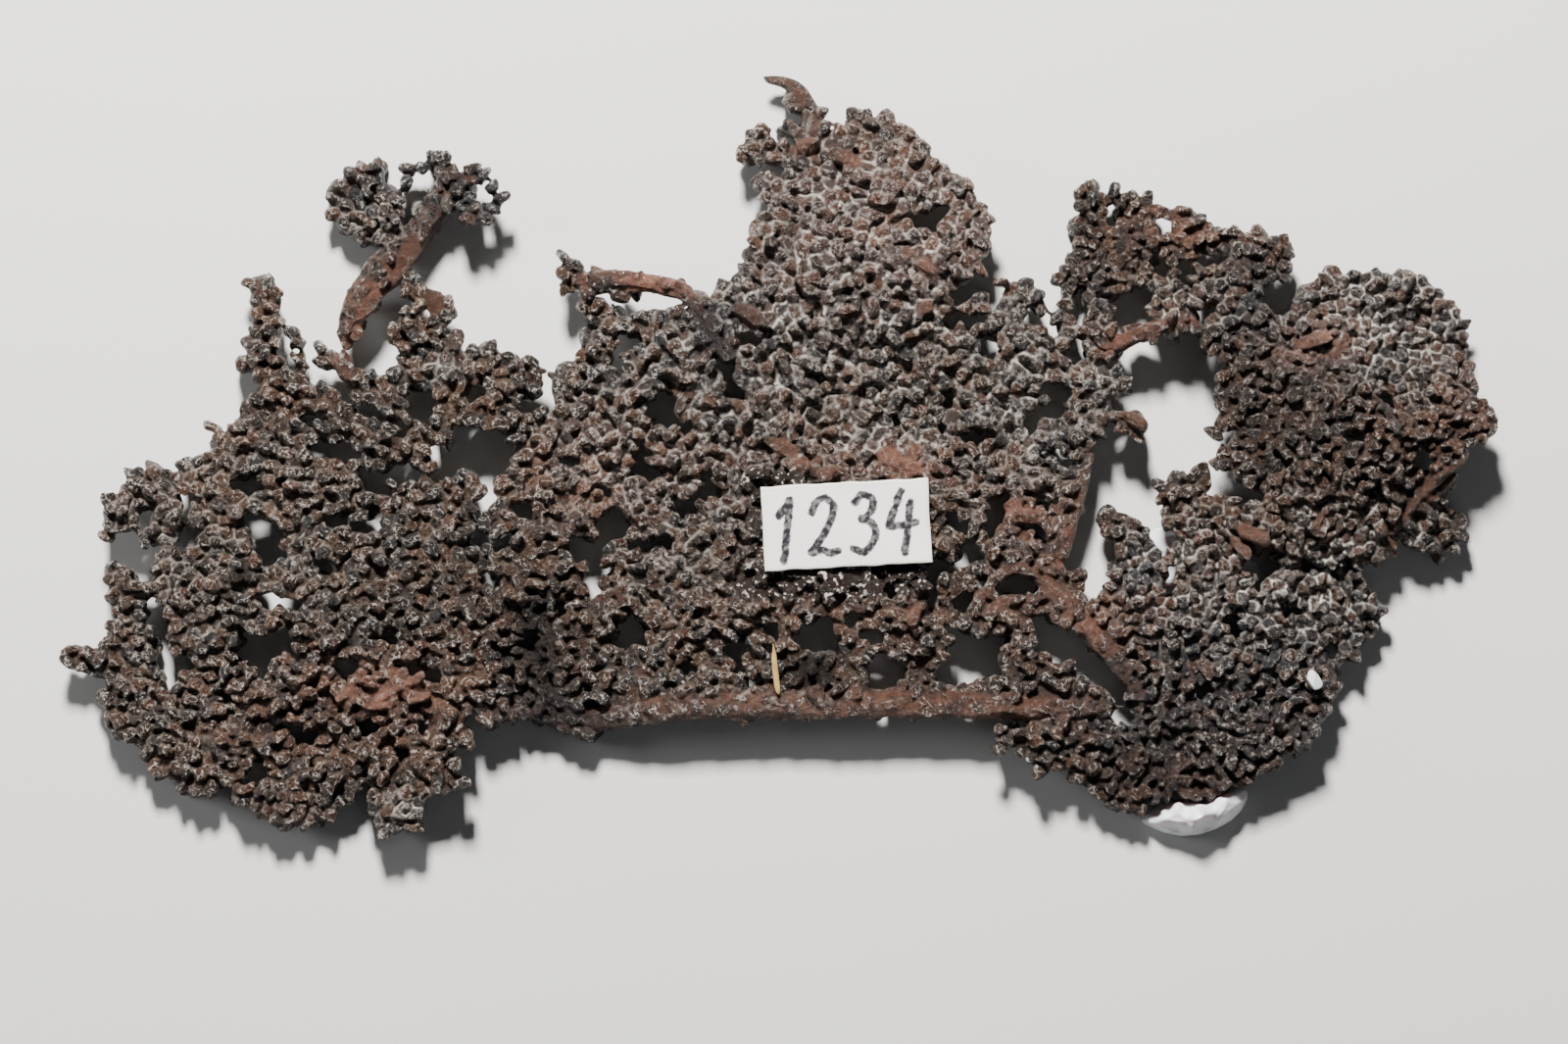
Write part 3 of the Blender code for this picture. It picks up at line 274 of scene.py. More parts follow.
def build_mesh(
    name: str, verts: np.ndarray, quads: np.ndarray, triangles: np.ndarray
) -> bpy.types.Mesh:
    """A Blender mesh from whole arrays.

    Args:
        name: The mesh's name.
        verts: N x 3 places in millimetres.
        quads: M x 4 indices.
        triangles: K x 3 indices.

    Returns:
        The mesh, in metres.
    """
    mesh = bpy.data.meshes.new(name)
    corners = np.concatenate([quads.ravel(), triangles.ravel()]).astype(np.int32)
    sizes = np.concatenate([np.full(len(quads), 4), np.full(len(triangles), 3)]).astype(np.int32)
    mesh.vertices.add(len(verts))
    mesh.vertices.foreach_set("co", (verts * MM).astype(np.float32).ravel())
    mesh.loops.add(len(corners))
    mesh.loops.foreach_set("vertex_index", corners)
    mesh.polygons.add(len(sizes))
    mesh.polygons.foreach_set(
        "loop_start", np.concatenate([[0], np.cumsum(sizes)[:-1]]).astype(np.int32)
    )
    mesh.update(calc_edges=True)
    mesh.validate()
    return mesh


def mesh_arrays(mesh: bpy.types.Mesh) -> tuple[np.ndarray, np.ndarray]:
    """A Blender mesh as arrays.

    Args:
        mesh: The mesh, in metres.

    Returns:
        N x 3 places in millimetres and M x 3 triangles.
    """
    mesh.calc_loop_triangles()
    verts = np.empty(len(mesh.vertices) * 3, np.float32)
    mesh.vertices.foreach_get("co", verts)
    faces = np.empty(len(mesh.loop_triangles) * 3, np.int32)
    mesh.loop_triangles.foreach_get("vertices", faces)
    return verts.reshape(-1, 3).astype(float) / MM, faces.reshape(-1, 3)


def add_object(name: str, mesh: bpy.types.Mesh) -> bpy.types.Object:
    """Puts a mesh in the scene as an object at the origin.

    Args:
        name: The object's name.
        mesh: Its mesh.

    Returns:
        The object.
    """
    made = bpy.data.objects.new(name, mesh)
    bpy.context.scene.collection.objects.link(made)
    return made


# ---------------------------------------------------------------------------------------------
# The leaf's plan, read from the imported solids

# Small gaps that go right through, most of them too fine for the solids: middle, half width, half
# height and turn in degrees.
SMALL_GAPS = (
    (-45.0, 3.9, 0.8, 0.45, 0), (-43.0, 0.6, 1.7, 0.6, -12), (-51.6, -2.7, 1.2, 0.45, 0),
    (-57.0, -4.1, 0.7, 0.35, 0), (-61.3, -6.1, 0.4, 0.55, 0), (-43.8, -10.6, 0.9, 0.45, -20),
    (-36.2, 2.5, 0.5, 0.6, 0), (-39.6, 4.5, 1.0, 0.5, -20), (-29.0, 6.2, 0.9, 0.6, 0),
    (-24.5, 4.7, 0.6, 0.4, 0), (-44.2, 7.9, 0.9, 0.55, 0), (-41.9, 6.6, 0.45, 0.9, 0),
    (-47.4, 10.2, 0.5, 1.0, 0), (-48.0, -14.0, 1.6, 0.4, -8), (-38.0, -17.3, 0.9, 0.35, 0),
    (-33.5, -21.1, 0.9, 0.6, 0), (-36.0, -20.1, 0.7, 0.4, 0), (-46.2, -26.9, 1.4, 0.6, -30),
    (-39.5, -26.2, 0.7, 0.45, 0), (-34.2, -25.9, 0.4, 0.5, 0), (-50.6, -30.8, 1.0, 0.7, 20),
    (-36.4, -28.7, 0.6, 0.4, 0), (-53.4, -23.2, 0.5, 0.35, 0), (-37.4, 27.1, 0.5, 0.5, 0),
    (-35.3, 25.1, 0.8, 0.7, 0), (-35.9, 22.6, 0.45, 0.8, 0), (-34.2, 27.1, 0.8, 0.4, 0),
    (-28.6, 25.5, 0.5, 0.9, 0), (-16.5, 15.7, 0.7, 0.5, 0), (-28.8, -7.9, 0.8, 0.6, 0),
    (-26.4, -8.2, 0.4, 0.7, -30), (-24.6, -5.2, 0.9, 0.4, -30), (-17.3, -11.0, 0.7, 0.4, 0),
    (-28.1, -11.8, 0.6, 0.4, 0), (-20.8, -14.7, 0.5, 0.5, 0), (-23.8, -17.8, 0.8, 0.9, 0),
    (-12.9, 0.0, 0.4, 0.9, 0), (-12.7, -1.4, 1.1, 0.4, -15), (-11.4, 4.0, 1.0, 0.7, -30),
    (-10.8, 5.7, 0.7, 0.4, -30), (-5.2, 9.0, 0.45, 1.3, 5), (-3.0, 11.5, 1.0, 0.4, -20),
    (-4.0, 6.2, 0.7, 0.6, 0), (-8.8, 3.0, 0.6, 0.35, 0), (-14.2, 11.3, 0.8, 0.5, 0),
    (-15.4, 9.0, 0.35, 0.8, 0), (-9.0, -4.9, 0.9, 0.6, 0), (-6.6, -2.0, 0.5, 0.6, 0),
    (-13.3, -8.5, 0.7, 0.35, 0), (-10.5, -8.3, 0.6, 0.5, 0), (-20.2, -0.5, 0.6, 0.4, 0),
    (-3.7, -18.6, 1.1, 0.45, -10), (-8.6, -20.4, 0.7, 0.35, 0), (-0.4, -16.6, 0.35, 1.3, 0),
    (9.3, -17.4, 1.0, 0.5, 0), (7.2, -15.6, 0.45, 0.4, 0), (18.0, -14.0, 0.7, 0.45, 0),
    (17.1, -16.6, 0.5, 0.35, 0), (33.4, -25.3, 1.3, 0.25, 0), (15.9, 3.0, 0.5, 0.6, 0),
    (19.8, 2.0, 1.2, 0.45, 10), (11.7, 3.6, 0.5, 0.5, 0), (24.6, 2.8, 0.5, 0.6, 0),
    (26.5, 4.4, 1.2, 0.45, 0), (27.1, 6.5, 1.2, 0.4, -10), (20.8, 10.4, 0.8, 0.7, 0),
    (29.0, 10.2, 0.6, 1.0, 0), (17.5, -6.4, 0.9, 0.5, -50), (19.0, -9.2, 0.6, 0.8, -20),
    (15.2, -13.8, 0.4, 0.9, 0), (21.9, -11.9, 1.3, 0.3, 12), (23.4, -12.8, 1.4, 0.5, 8),
    (11.1, -13.0, 0.5, 0.6, 0), (59.3, 5.6, 0.6, 0.4, 0), (43.8, 2.2, 0.6, 0.35, 0),
    (55.6, 2.0, 0.7, 0.35, 0), (62.5, -0.3, 0.8, 1.0, 0), (47.9, -10.0, 0.6, 0.9, 20),
    (51.4, -10.4, 0.5, 0.35, 0), (46.2, -11.2, 0.45, 1.3, 20), (38.3, -11.9, 0.5, 1.2, -10),
    (44.1, -15.6, 0.35, 0.4, 0), (44.6, -17.3, 0.45, 0.45, 0), (54.0, -18.6, 0.7, 0.4, 0),
    (50.2, -14.9, 0.7, 0.35, 0), (41.8, -22.6, 0.7, 0.4, 0), (47.0, -23.2, 0.35, 0.5, 0),
    (32.8, 23.6, 0.4, 0.9, 0), (37.3, 18.8, 0.5, 0.8, 0), (42.4, 19.0, 0.8, 0.45, 0),
    (41.6, 14.6, 0.5, 0.9, 0), (39.7, 18.2, 0.35, 0.8, 0), (19.2, 16.6, 0.6, 0.6, 0),
    (17.9, 15.8, 0.6, 0.5, 0), (18.2, 13.2, 1.2, 0.4, 0), (14.1, 23.0, 1.2, 0.5, -15),
    (15.9, 23.9, 0.7, 0.5, 30),
)


@dataclass
class Grid:
    """Values at the crossings of an even grid over the plan."""

    low: np.ndarray
    step: float
    values: np.ndarray

    def at(self, points: np.ndarray) -> np.ndarray:
        """The value at each point, blended from the four crossings round it.

        Args:
            points: N x 2 or N x 3 places.

        Returns:
            N values.
        """
        place = (points[:, :2] - self.low) / self.step
        limit = np.array(self.values.shape) - 2
        first = np.clip(np.floor(place).astype(int), 0, limit)
        share = np.clip(place - first, 0.0, 1.0)
        i, j = first.T
        near = self.values[i, j] * (1 - share[:, 1]) + self.values[i, j + 1] * share[:, 1]
        far = self.values[i + 1, j] * (1 - share[:, 1]) + self.values[i + 1, j + 1] * share[:, 1]
        return near * (1 - share[:, 0]) + far * share[:, 0]


@dataclass
class Plan:
    """The whole leaf seen from above: how deep each place lies inside it, and which branch has it."""

    step: float = 0.25
    margin: float = 2.0
    seam_width: float = 0.42
    bridge: float = 0.3
    gap_growth: float = 0.22
    gap_box: float = 6.0
    depth: Grid = field(init=False)
    owner: np.ndarray = field(init=False)
    middle: Grid = field(init=False)
    low: np.ndarray = field(init=False)
    shape: tuple[int, int] = field(init=False)

    def __post_init__(self) -> None:
        rims, skins = [], []
        for branch in Branch:
            edges, top, under = self.read_node(branch.value)
            rims.append(edges)
            skins.append((top, under))
        every = np.vstack(rims).reshape(-1, 2)
        self.low = every.min(axis=0) - self.margin
        size = every.max(axis=0) + self.margin - self.low
        self.shape = tuple((size / self.step).astype(int) + 1)
        self.depth, self.owner = self.measure(rims)
        self.middle = self.middle_surface(skins)

    @staticmethod
    def read_node(name: str) -> tuple[np.ndarray, np.ndarray, np.ndarray]:
        """One packed branch's plan edges and its two skins.

        Args:
            name: The node's name.

        Returns:
            S x 2 x 2 edges in plan, and the N x 3 inner points of the top and of the underside.
        """
        verts, faces = mesh_arrays(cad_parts[name].data)
        places, index = np.unique(np.round(verts, 3), axis=0, return_inverse=True)
        faces = index.reshape(-1)[faces]
        a, b, c = (places[faces[:, k]] for k in range(3))
        normal = np.cross(b - a, c - a)
        up = normal[:, 2] / np.maximum(np.linalg.norm(normal, axis=1), 1e-9)
        edges = {}
        for face in faces[up > UPRIGHT].tolist():
            for start, end in zip(face, face[1:] + face[:1]):
                edges[start, end] = True
        rim = np.array([edge for edge in edges if edge[::-1] not in edges])
        inner_top = np.setdiff1d(faces[up > UPRIGHT], rim)
        walls = np.unique(faces[np.abs(up) <= UPRIGHT])
        inner_under = np.setdiff1d(faces[up < -UPRIGHT], walls)
        return places[rim][:, :, :2], places[inner_top], places[inner_under]

    def grid_points(self) -> np.ndarray:
        """Every crossing of the plan's grid.

        Returns:
            (columns x rows) x 2 places.
        """
        return crossings(self.low, self.shape, self.step)

    @staticmethod
    def distance(points: np.ndarray, edges: np.ndarray) -> np.ndarray:
        """How far each point is from the nearest edge.

        Args:
            points: N x 2 places.
            edges: S x 2 x 2 straight edges.

        Returns:
            N distances.
        """
        nearest = np.full(len(points), np.inf)
        for start, end in edges:
            box = (
                np.abs(points - (start + end) / 2.0) < FAR + np.abs(end - start) / 2.0
            ).all(axis=1)
            close = points[box]
            run = end - start
            share = np.clip((close - start) @ run / max(float(run @ run), 1e-9), 0.0, 1.0)
            found = np.linalg.norm(close - start - share[:, None] * run, axis=1)
            nearest[box] = np.minimum(nearest[box], found)
        return nearest

    @staticmethod
    def inside(points: np.ndarray, edges: np.ndarray) -> np.ndarray:
        """True where a line to the right crosses the edges an odd number of times.

        Args:
            points: N x 2 places.
            edges: S x 2 x 2 straight edges that close on themselves.

        Returns:
            N truth values.
        """
        found = np.zeros(len(points), bool)
        for (x0, y0), (x1, y1) in edges:
            rows = np.flatnonzero((y0 > points[:, 1]) != (y1 > points[:, 1]))
            reach = x0 + (points[rows, 1] - y0) * (x1 - x0) / (y1 - y0 if y1 != y0 else 1.0)
            found[rows[points[rows, 0] < reach]] ^= True
        return found

    def measure(self, rims: list[np.ndarray]) -> tuple[Grid, np.ndarray]:
        """The depth inside the leaf, with the cuts between branches closed, and each place's branch.

        Args:
            rims: Each branch's plan edges.

        Returns:
            The depth, negative outside, and the branch's number, -1 outside.
        """
        points = self.grid_points()
        owner = np.full(len(points), -1)
        free, seams = [], []
        for number, edges in enumerate(rims):
            others = np.vstack([rim for k, rim in enumerate(rims) if k != number])
            away = self.distance(edges.mean(axis=1), others)
            free.append(edges[away > self.seam_width])
            seams.append(edges[away <= self.seam_width])
            owner[self.inside(points, edges)] = number
        depth = np.minimum(self.distance(points, np.vstack(free)), FAR)
        seam = self.distance(points, np.vstack(seams))
        bridged = (owner < 0) & (seam < self.bridge) & (depth > self.bridge)
        depth = np.where((owner >= 0) | bridged, depth, -depth)
        for x, y, half_width, half_height, turn in SMALL_GAPS:
            half = np.array([half_width, half_height]) + self.gap_growth
            box = np.abs(points - np.array([x, y])).max(axis=1) < self.gap_box
            radius = oval_radius(points[box], (x, y), tuple(half), turn)
            depth[box] = np.minimum(depth[box], (radius - 1.0) * half.min())
        return Grid(self.low, self.step, depth.reshape(self.shape)), owner.reshape(self.shape)

    def owner_at(self, points: np.ndarray) -> np.ndarray:
        """The number of the branch that each point lies on.

        Args:
            points: N x 2 or N x 3 places.

        Returns:
            N numbers, -1 off the leaf.
        """
        place = np.round((points[:, :2] - self.low) / self.step).astype(int)
        place = np.clip(place, 0, np.array(self.shape) - 1)
        return self.owner[place[:, 0], place[:, 1]]

    def middle_surface(
        self, skins: list[tuple[np.ndarray, np.ndarray]], step: float = 2.0, reach: float = 2.6
    ) -> Grid:
        """The leaf's middle height: half way between its skins, each averaged with a bell weight.

        Args:
            skins: Each branch's inner points, above and below.
            step: The grid's spacing.
            reach: The bell's reach.

        Returns:
            The height over the plan.
        """
        count = (np.array(self.shape) * self.step / step).astype(int) + 2
        places = crossings(self.low, count, step)
        height = np.zeros(len(places))
        for side in (0, 1):
            skin = np.vstack([pair[side] for pair in skins])
            away = ((places[:, None, :] - skin[None, :, :2]) ** 2).sum(axis=2)
            weight = np.exp(-away / (2.0 * reach**2)) + 1e-9 * np.exp(-away / 800.0)
            height += 0.5 * (weight @ skin[:, 2]) / weight.sum(axis=1)
        return Grid(self.low, step, height.reshape(tuple(count)))


# ---------------------------------------------------------------------------------------------
# Nubs, stems and flakes


@dataclass(frozen=True)
class CardPlace:
    """Where the glued card lies."""

    centre: tuple[float, float] = (6.8, -6.5)
    size: tuple[float, float] = (16.2, 8.2)
    turn: float = math.radians(3.1)
    underside: float = 4.62

    def covers(self, points: np.ndarray, margin: float = 0.0) -> np.ndarray:
        """True under the card.

        Args:
            points: N x 2 or N x 3 places.
            margin: How far past its edges still counts.

        Returns:
            N truth values.
        """
        away = points[:, :2] - np.array(self.centre)
        along = away @ np.array([math.cos(self.turn), math.sin(self.turn)])
        across = away @ np.array([-math.sin(self.turn), math.cos(self.turn)])
        return (np.abs(along) < self.size[0] / 2 + margin) & (
            np.abs(across) < self.size[1] / 2 + margin
        )


CARD = CardPlace()


@dataclass(frozen=True)
class Patch:
    """One soft oval patch of a value over the leaf."""

    centre: tuple[float, float]
    reach: tuple[float, float]
    amount: float
    turn: float = 0.0


def patched(points: np.ndarray, patches: tuple[Patch, ...], base: float = 0.0) -> np.ndarray:
    """A value over the leaf: its base and the sum of its patches.

    Args:
        points: N x 2 or N x 3 places.
        patches: The patches.
        base: The value away from them.

    Returns:
        N values.
    """
    total = np.full(len(points), base)
    for patch in patches:
        total += patch.amount * blob(points, patch.centre, patch.reach, patch.turn)
    return total


SPACING = (
    Patch((58.0, 4.0), (9.0, 11.0), -0.22),
    Patch((44.0, -22.0), (11.0, 8.0), -0.24),
    Patch((40.0, 20.0), (9.0, 5.0), -0.12),
    Patch((-36.0, 25.0), (6.0, 5.0), -0.1),
    Patch((-9.0, -12.0), (9.0, 7.0), -0.08),
)

WARM = (
    Patch((12.4, -0.6), (2.6, 1.3), 1.2), Patch((-36.0, -22.4), (4.5, 2.0), 0.8),
    Patch((-44.0, -25.0), (7.0, 4.0), 0.35), Patch((-12.0, 17.0), (4.0, 1.3), 1.1),
    Patch((46.0, -8.2), (4.0, 2.6), 0.3), Patch((52.4, 11.0), (3.2, 1.5), 1.2, 15.0),
    Patch((2.2, -0.8), (3.0, 1.4), 0.6), Patch((24.0, -5.4), (3.0, 2.0), 0.7),
    Patch((-40.2, 13.4), (0.9, 3.0), 0.8, -30.0), Patch((67.0, 8.0), (2.0, 6.0), 0.25),
    Patch((61.0, 3.0), (4.0, 3.0), 0.3), Patch((12.0, -24.2), (14.0, 1.4), 0.45),
    Patch((39.0, 22.0), (4.0, 2.0), 0.6), Patch((11.0, 23.0), (9.0, 7.0), 0.45),
    Patch((10.0, -14.0), (8.0, 2.0), 0.4), Patch((33.0, -15.0), (4.0, 5.0), 0.35),
    Patch((-12.0, 0.0), (4.0, 3.0), 0.4), Patch((40.0, -31.0), (6.0, 1.2), 0.6),
    Patch((-20.0, -3.0), (4.0, 4.0), 0.35), Patch((36.0, 12.4), (4.0, 1.0), 0.6, 20.0),
    Patch((29.0, -14.5), (4.0, 4.0), 0.3),
)
# Dark patches: partly painted shade in recesses and on slopes turned from the light, partly dark patina.
DARK = (
    Patch((3.6, -20.7), (1.9, 1.3), 1.5), Patch((-22.6, -22.4), (1.8, 3.2), 0.9),
    Patch((-22.0, -15.0), (4.0, 4.0), 0.35), Patch((41.0, -29.0), (7.0, 2.6), 0.45),
    Patch((34.0, -31.6), (5.0, 2.4), 0.45), Patch((44.0, -25.0), (9.0, 4.0), 0.25),
    Patch((48.0, 7.0), (5.0, 5.0), 0.5), Patch((6.0, -12.2), (8.0, 1.4), 0.6),
    Patch((0.6, -2.0), (3.0, 0.8), 0.6), Patch((-6.4, 12.4), (1.0, 3.0), 0.7, 30.0),
    Patch((-28.6, 25.0), (2.4, 2.4), 0.4), Patch((32.0, 21.0), (4.0, 4.0), 0.35),
    Patch((-19.6, -25.8), (4.0, 1.2), 0.6), Patch((-51.5, -11.3), (1.0, 0.7), 1.2),
    Patch((56.0, -1.0), (10.0, 5.0), 0.25), Patch((47.0, 17.0), (3.0, 3.0), 0.3),
    Patch((-17.0, 16.0), (1.6, 1.0), 0.5), Patch((-24.0, -18.0), (1.6, 1.8), 0.7),
    Patch((20.0, -20.0), (8.0, 2.0), 0.2), Patch((52.0, -22.0), (4.0, 5.0), 0.1),
    Patch((-31.0, -11.0), (6.0, 5.0), 0.2),
)
PALE = (
    Patch((7.0, 8.0), (15.0, 10.0), 0.9), Patch((58.0, 13.0), (7.0, 4.0), 1.0),
    Patch((38.6, 14.8), (3.6, 2.0), 1.1), Patch((-35.4, -34.6), (1.8, 1.5), 1.3),
    Patch((-46.0, -8.0), (14.0, 10.0), 0.3), Patch((-33.0, 9.2), (4.0, 1.4), 0.6),
    Patch((24.5, 3.2), (0.8, 1.3), 1.6), Patch((0.5, 34.0), (2.0, 3.0), 0.5),
    Patch((-40.0, 22.0), (4.0, 3.0), 0.5), Patch((10.0, 25.0), (9.0, 6.0), 0.6),
    Patch((-13.0, 0.0), (6.0, 5.0), 0.5), Patch((50.0, -12.5), (8.0, 4.0), 0.9),
    Patch((63.0, -6.5), (4.0, 2.6), 0.5), Patch((-60.0, -22.0), (5.0, 8.0), 0.3),
    Patch((-45.0, -34.0), (7.0, 2.0), 0.4), Patch((0.0, -24.0), (8.0, 1.4), 0.6),
    Patch((37.0, -10.0), (3.0, 3.0), 0.6), Patch((29.0, 8.0), (4.0, 5.0), 0.4),
    Patch((53.0, -4.6), (4.0, 2.0), 0.5), Patch((-58.0, -5.0), (5.0, 4.0), 0.3),
    Patch((-8.0, -14.0), (8.0, 5.0), 0.3),
)
# Powdered tops, which lighten the colour and leave the grooves as they are.
POWDERED = (Patch((50.0, -11.0), (10.0, 5.0), 0.6), Patch((58.0, 14.0), (9.0, 6.0), 0.4))
GREY = (
    Patch((12.0, 20.0), (11.0, 9.0), 0.25), Patch((40.0, -24.0), (11.0, 5.0), 0.7),
    Patch((-36.0, 26.0), (6.0, 3.0), 0.6), Patch((-28.4, 25.0), (2.0, 2.0), 1.0),
    Patch((46.0, 14.6), (3.0, 2.6), 0.7), Patch((-5.0, 12.6), (2.6, 3.0), 0.7),
    Patch((48.0, -19.0), (8.0, 6.0), 0.45), Patch((-9.0, 12.0), (6.0, 3.0), 0.4),
    Patch((35.6, -10.6), (2.0, 2.0), 0.9), Patch((26.0, 0.0), (5.0, 6.0), 0.3),
    Patch((-21.0, -24.6), (5.0, 2.0), 0.6), Patch((60.0, 12.0), (8.0, 5.0), 0.4),
)
VARNISH = (
    Patch((6.6, -11.9), (8.0, 1.3), 1.3, 3.0), Patch((0.4, -2.1), (3.0, 0.8), 1.0),
    Patch((-2.0, -6.0), (0.8, 4.0), 0.8), Patch((-16.8, 16.6), (1.6, 1.0), 0.8),
    Patch((44.0, -27.0), (9.0, 4.0), 0.35), Patch((50.0, 6.0), (6.0, 6.0), 0.3),
)


# The values made of patches, and the most that each reaches.
PATCHED = {
    Attribute.WARM: (WARM, 1.5),
    Attribute.DARK: (DARK, 1.5),
    Attribute.PALE: (PALE + POWDERED, 1.5),
    Attribute.GREY: (GREY, 1.5),
    Attribute.VARNISH: (VARNISH, 1.2),
}


@dataclass(frozen=True)
class Stem:
    """A smooth stem: its way in plan, its radii at even steps along it and its rise over the middle.

    Its crust is how many small crystals it has to a millimetre, and its lean draws them to one side.
    """

    branch: Branch
    way: tuple[tuple[float, float], ...]
    radii: tuple[float, ...]
    rise: float = 0.6
    crust: float = 0.9
    lean: float = 0.0

    def smooth_way(self, step: float = STEM_STEP) -> tuple[np.ndarray, np.ndarray]:
        """The way as a smooth curve: a Catmull-Rom spline through its points, at even steps.

        Args:
            step: The distance between the points made.

        Returns:
            N x 2 points, and the stem's radius at each.
        """
        way = np.array(self.way)
        ghost = np.vstack([2 * way[0] - way[1], way, 2 * way[-1] - way[-2]])
        t = np.linspace(0.0, 1.0, 12, endpoint=False)[:, None]
        runs = []
        for a, b, c, d in zip(ghost, ghost[1:], ghost[2:], ghost[3:]):
            runs.append(
                0.5 * (
                    2 * b + (c - a) * t + (2 * a - 5 * b + 4 * c - d) * t**2
                    + (3 * b - a - 3 * c + d) * t**3
                )
            )
        line = np.vstack([*runs, way[-1:]])
        reach = np.concatenate([[0.0], np.cumsum(np.linalg.norm(np.diff(line, axis=0), axis=1))])
        places = np.linspace(0.0, reach[-1], int(reach[-1] / step) + 2)
        points = np.stack([np.interp(places, reach, line[:, k]) for k in (0, 1)], axis=1)
        radii = np.interp(places, np.linspace(0.0, reach[-1], len(self.radii)), self.radii)
        return points, radii


STEMS = (
    Stem(
        Branch.CROWN_SPRIG,
        (
            (-41.9, 10.7), (-41.5, 12.6), (-40.4, 15.0), (-38.6, 17.4), (-36.6, 19.8),
            (-34.4, 22.3), (-32.2, 25.6)
        ),
        (0.5, 1.1, 1.45, 1.75, 1.7, 1.4, 1.2, 0.8), 0.3, 3.6, -0.75
    ),
    Stem(Branch.LEFT_FAN, ((-42.0, 10.3), (-41.9, 8.8), (-41.6, 7.2)), (0.8, 0.9, 0.6), 0.5),
    Stem(
        Branch.CENTRE_FAN,
        (
            (-23.4, -24.9), (-20.0, -25.4), (-16.6, -25.2), (-12.0, -24.5), (-5.0, -24.1),
            (8.0, -23.9), (20.0, -24.0), (27.0, -24.2), (33.0, -24.3)
        ),
        (0.9, 1.3, 1.25, 1.3, 1.35, 1.3, 1.0), 0.25, 2.4
    ),
    Stem(
        Branch.BENT_TWIG,
        ((-18.2, 17.0), (-15.0, 17.05), (-12.0, 16.8), (-9.6, 16.2), (-8.0, 15.3)),
        (1.1, 1.05, 0.85, 0.85, 0.8), 0.7
    ),
    Stem(
        Branch.CENTRE_FAN,
        ((-9.0, 15.9), (-8.1, 15.2), (-7.2, 14.1), (-6.2, 12.3), (-5.2, 10.5), (-4.3, 9.0)),
        (0.7, 0.72, 0.62, 0.6, 0.65, 0.8), 0.9
    ),
    Stem(
        Branch.CENTRE_FAN, ((24.4, -10.6), (26.3, -12.2), (28.4, -14.3), (29.4, -15.6)),
        (0.7, 0.9, 0.95), 0.7
    ),
    Stem(
        Branch.RIGHT_FOOT,
        ((29.3, -15.4), (31.0, -17.3), (33.2, -20.0), (34.9, -22.4), (35.6, -24.2)),
        (0.95, 1.0, 0.85, 0.6), 0.7
    ),
    Stem(
        Branch.CENTRE_FAN,
        ((30.6, 0.9), (30.1, -1.0), (29.5, -3.4), (28.9, -5.6), (28.1, -8.2), (27.5, -10.0)),
        (0.5, 0.6, 0.6, 0.7), 0.45
    ),
    Stem(
        Branch.RIGHT_ARCH, ((31.6, 10.2), (33.4, 11.1), (35.4, 12.0), (38.0, 12.9), (40.4, 13.3)),
        (0.7, 0.75, 0.7, 0.5), 0.6
    ),
    Stem(
        Branch.RIGHT_HEAD, ((66.6, 0.0), (64.2, -1.8), (61.6, -4.6), (59.4, -7.6)),
        (0.4, 0.6, 0.6, 0.4), 1.1
    ),
    Stem(Branch.RIGHT_HEAD, ((66.0, -1.4), (64.0, -3.6), (62.4, -6.0)), (0.35, 0.45, 0.3), 0.9),
    Stem(
        Branch.CENTRE_FAN, ((20.0, -13.4), (21.6, -11.5), (23.6, -10.7), (25.0, -11.6)),
        (0.5, 0.55, 0.5), 1.1
    ),
    Stem(Branch.CENTRE_FAN, ((20.4, -15.0), (22.0, -14.0), (24.4, -13.6)), (0.4, 0.6, 0.4), 1.0),
    Stem(Branch.CENTRE_FAN, ((-17.2, -13.6), (-15.9, -13.0), (-15.0, -13.6)), (0.4, 0.5, 0.3), 0.9),
    Stem(
        Branch.CENTRE_FAN, ((-1.2, 36.9), (0.8, 36.6), (2.4, 35.6), (3.0, 34.0), (3.6, 32.4)),
        (0.4, 0.6, 0.8, 0.8), 0.2
    ),
)

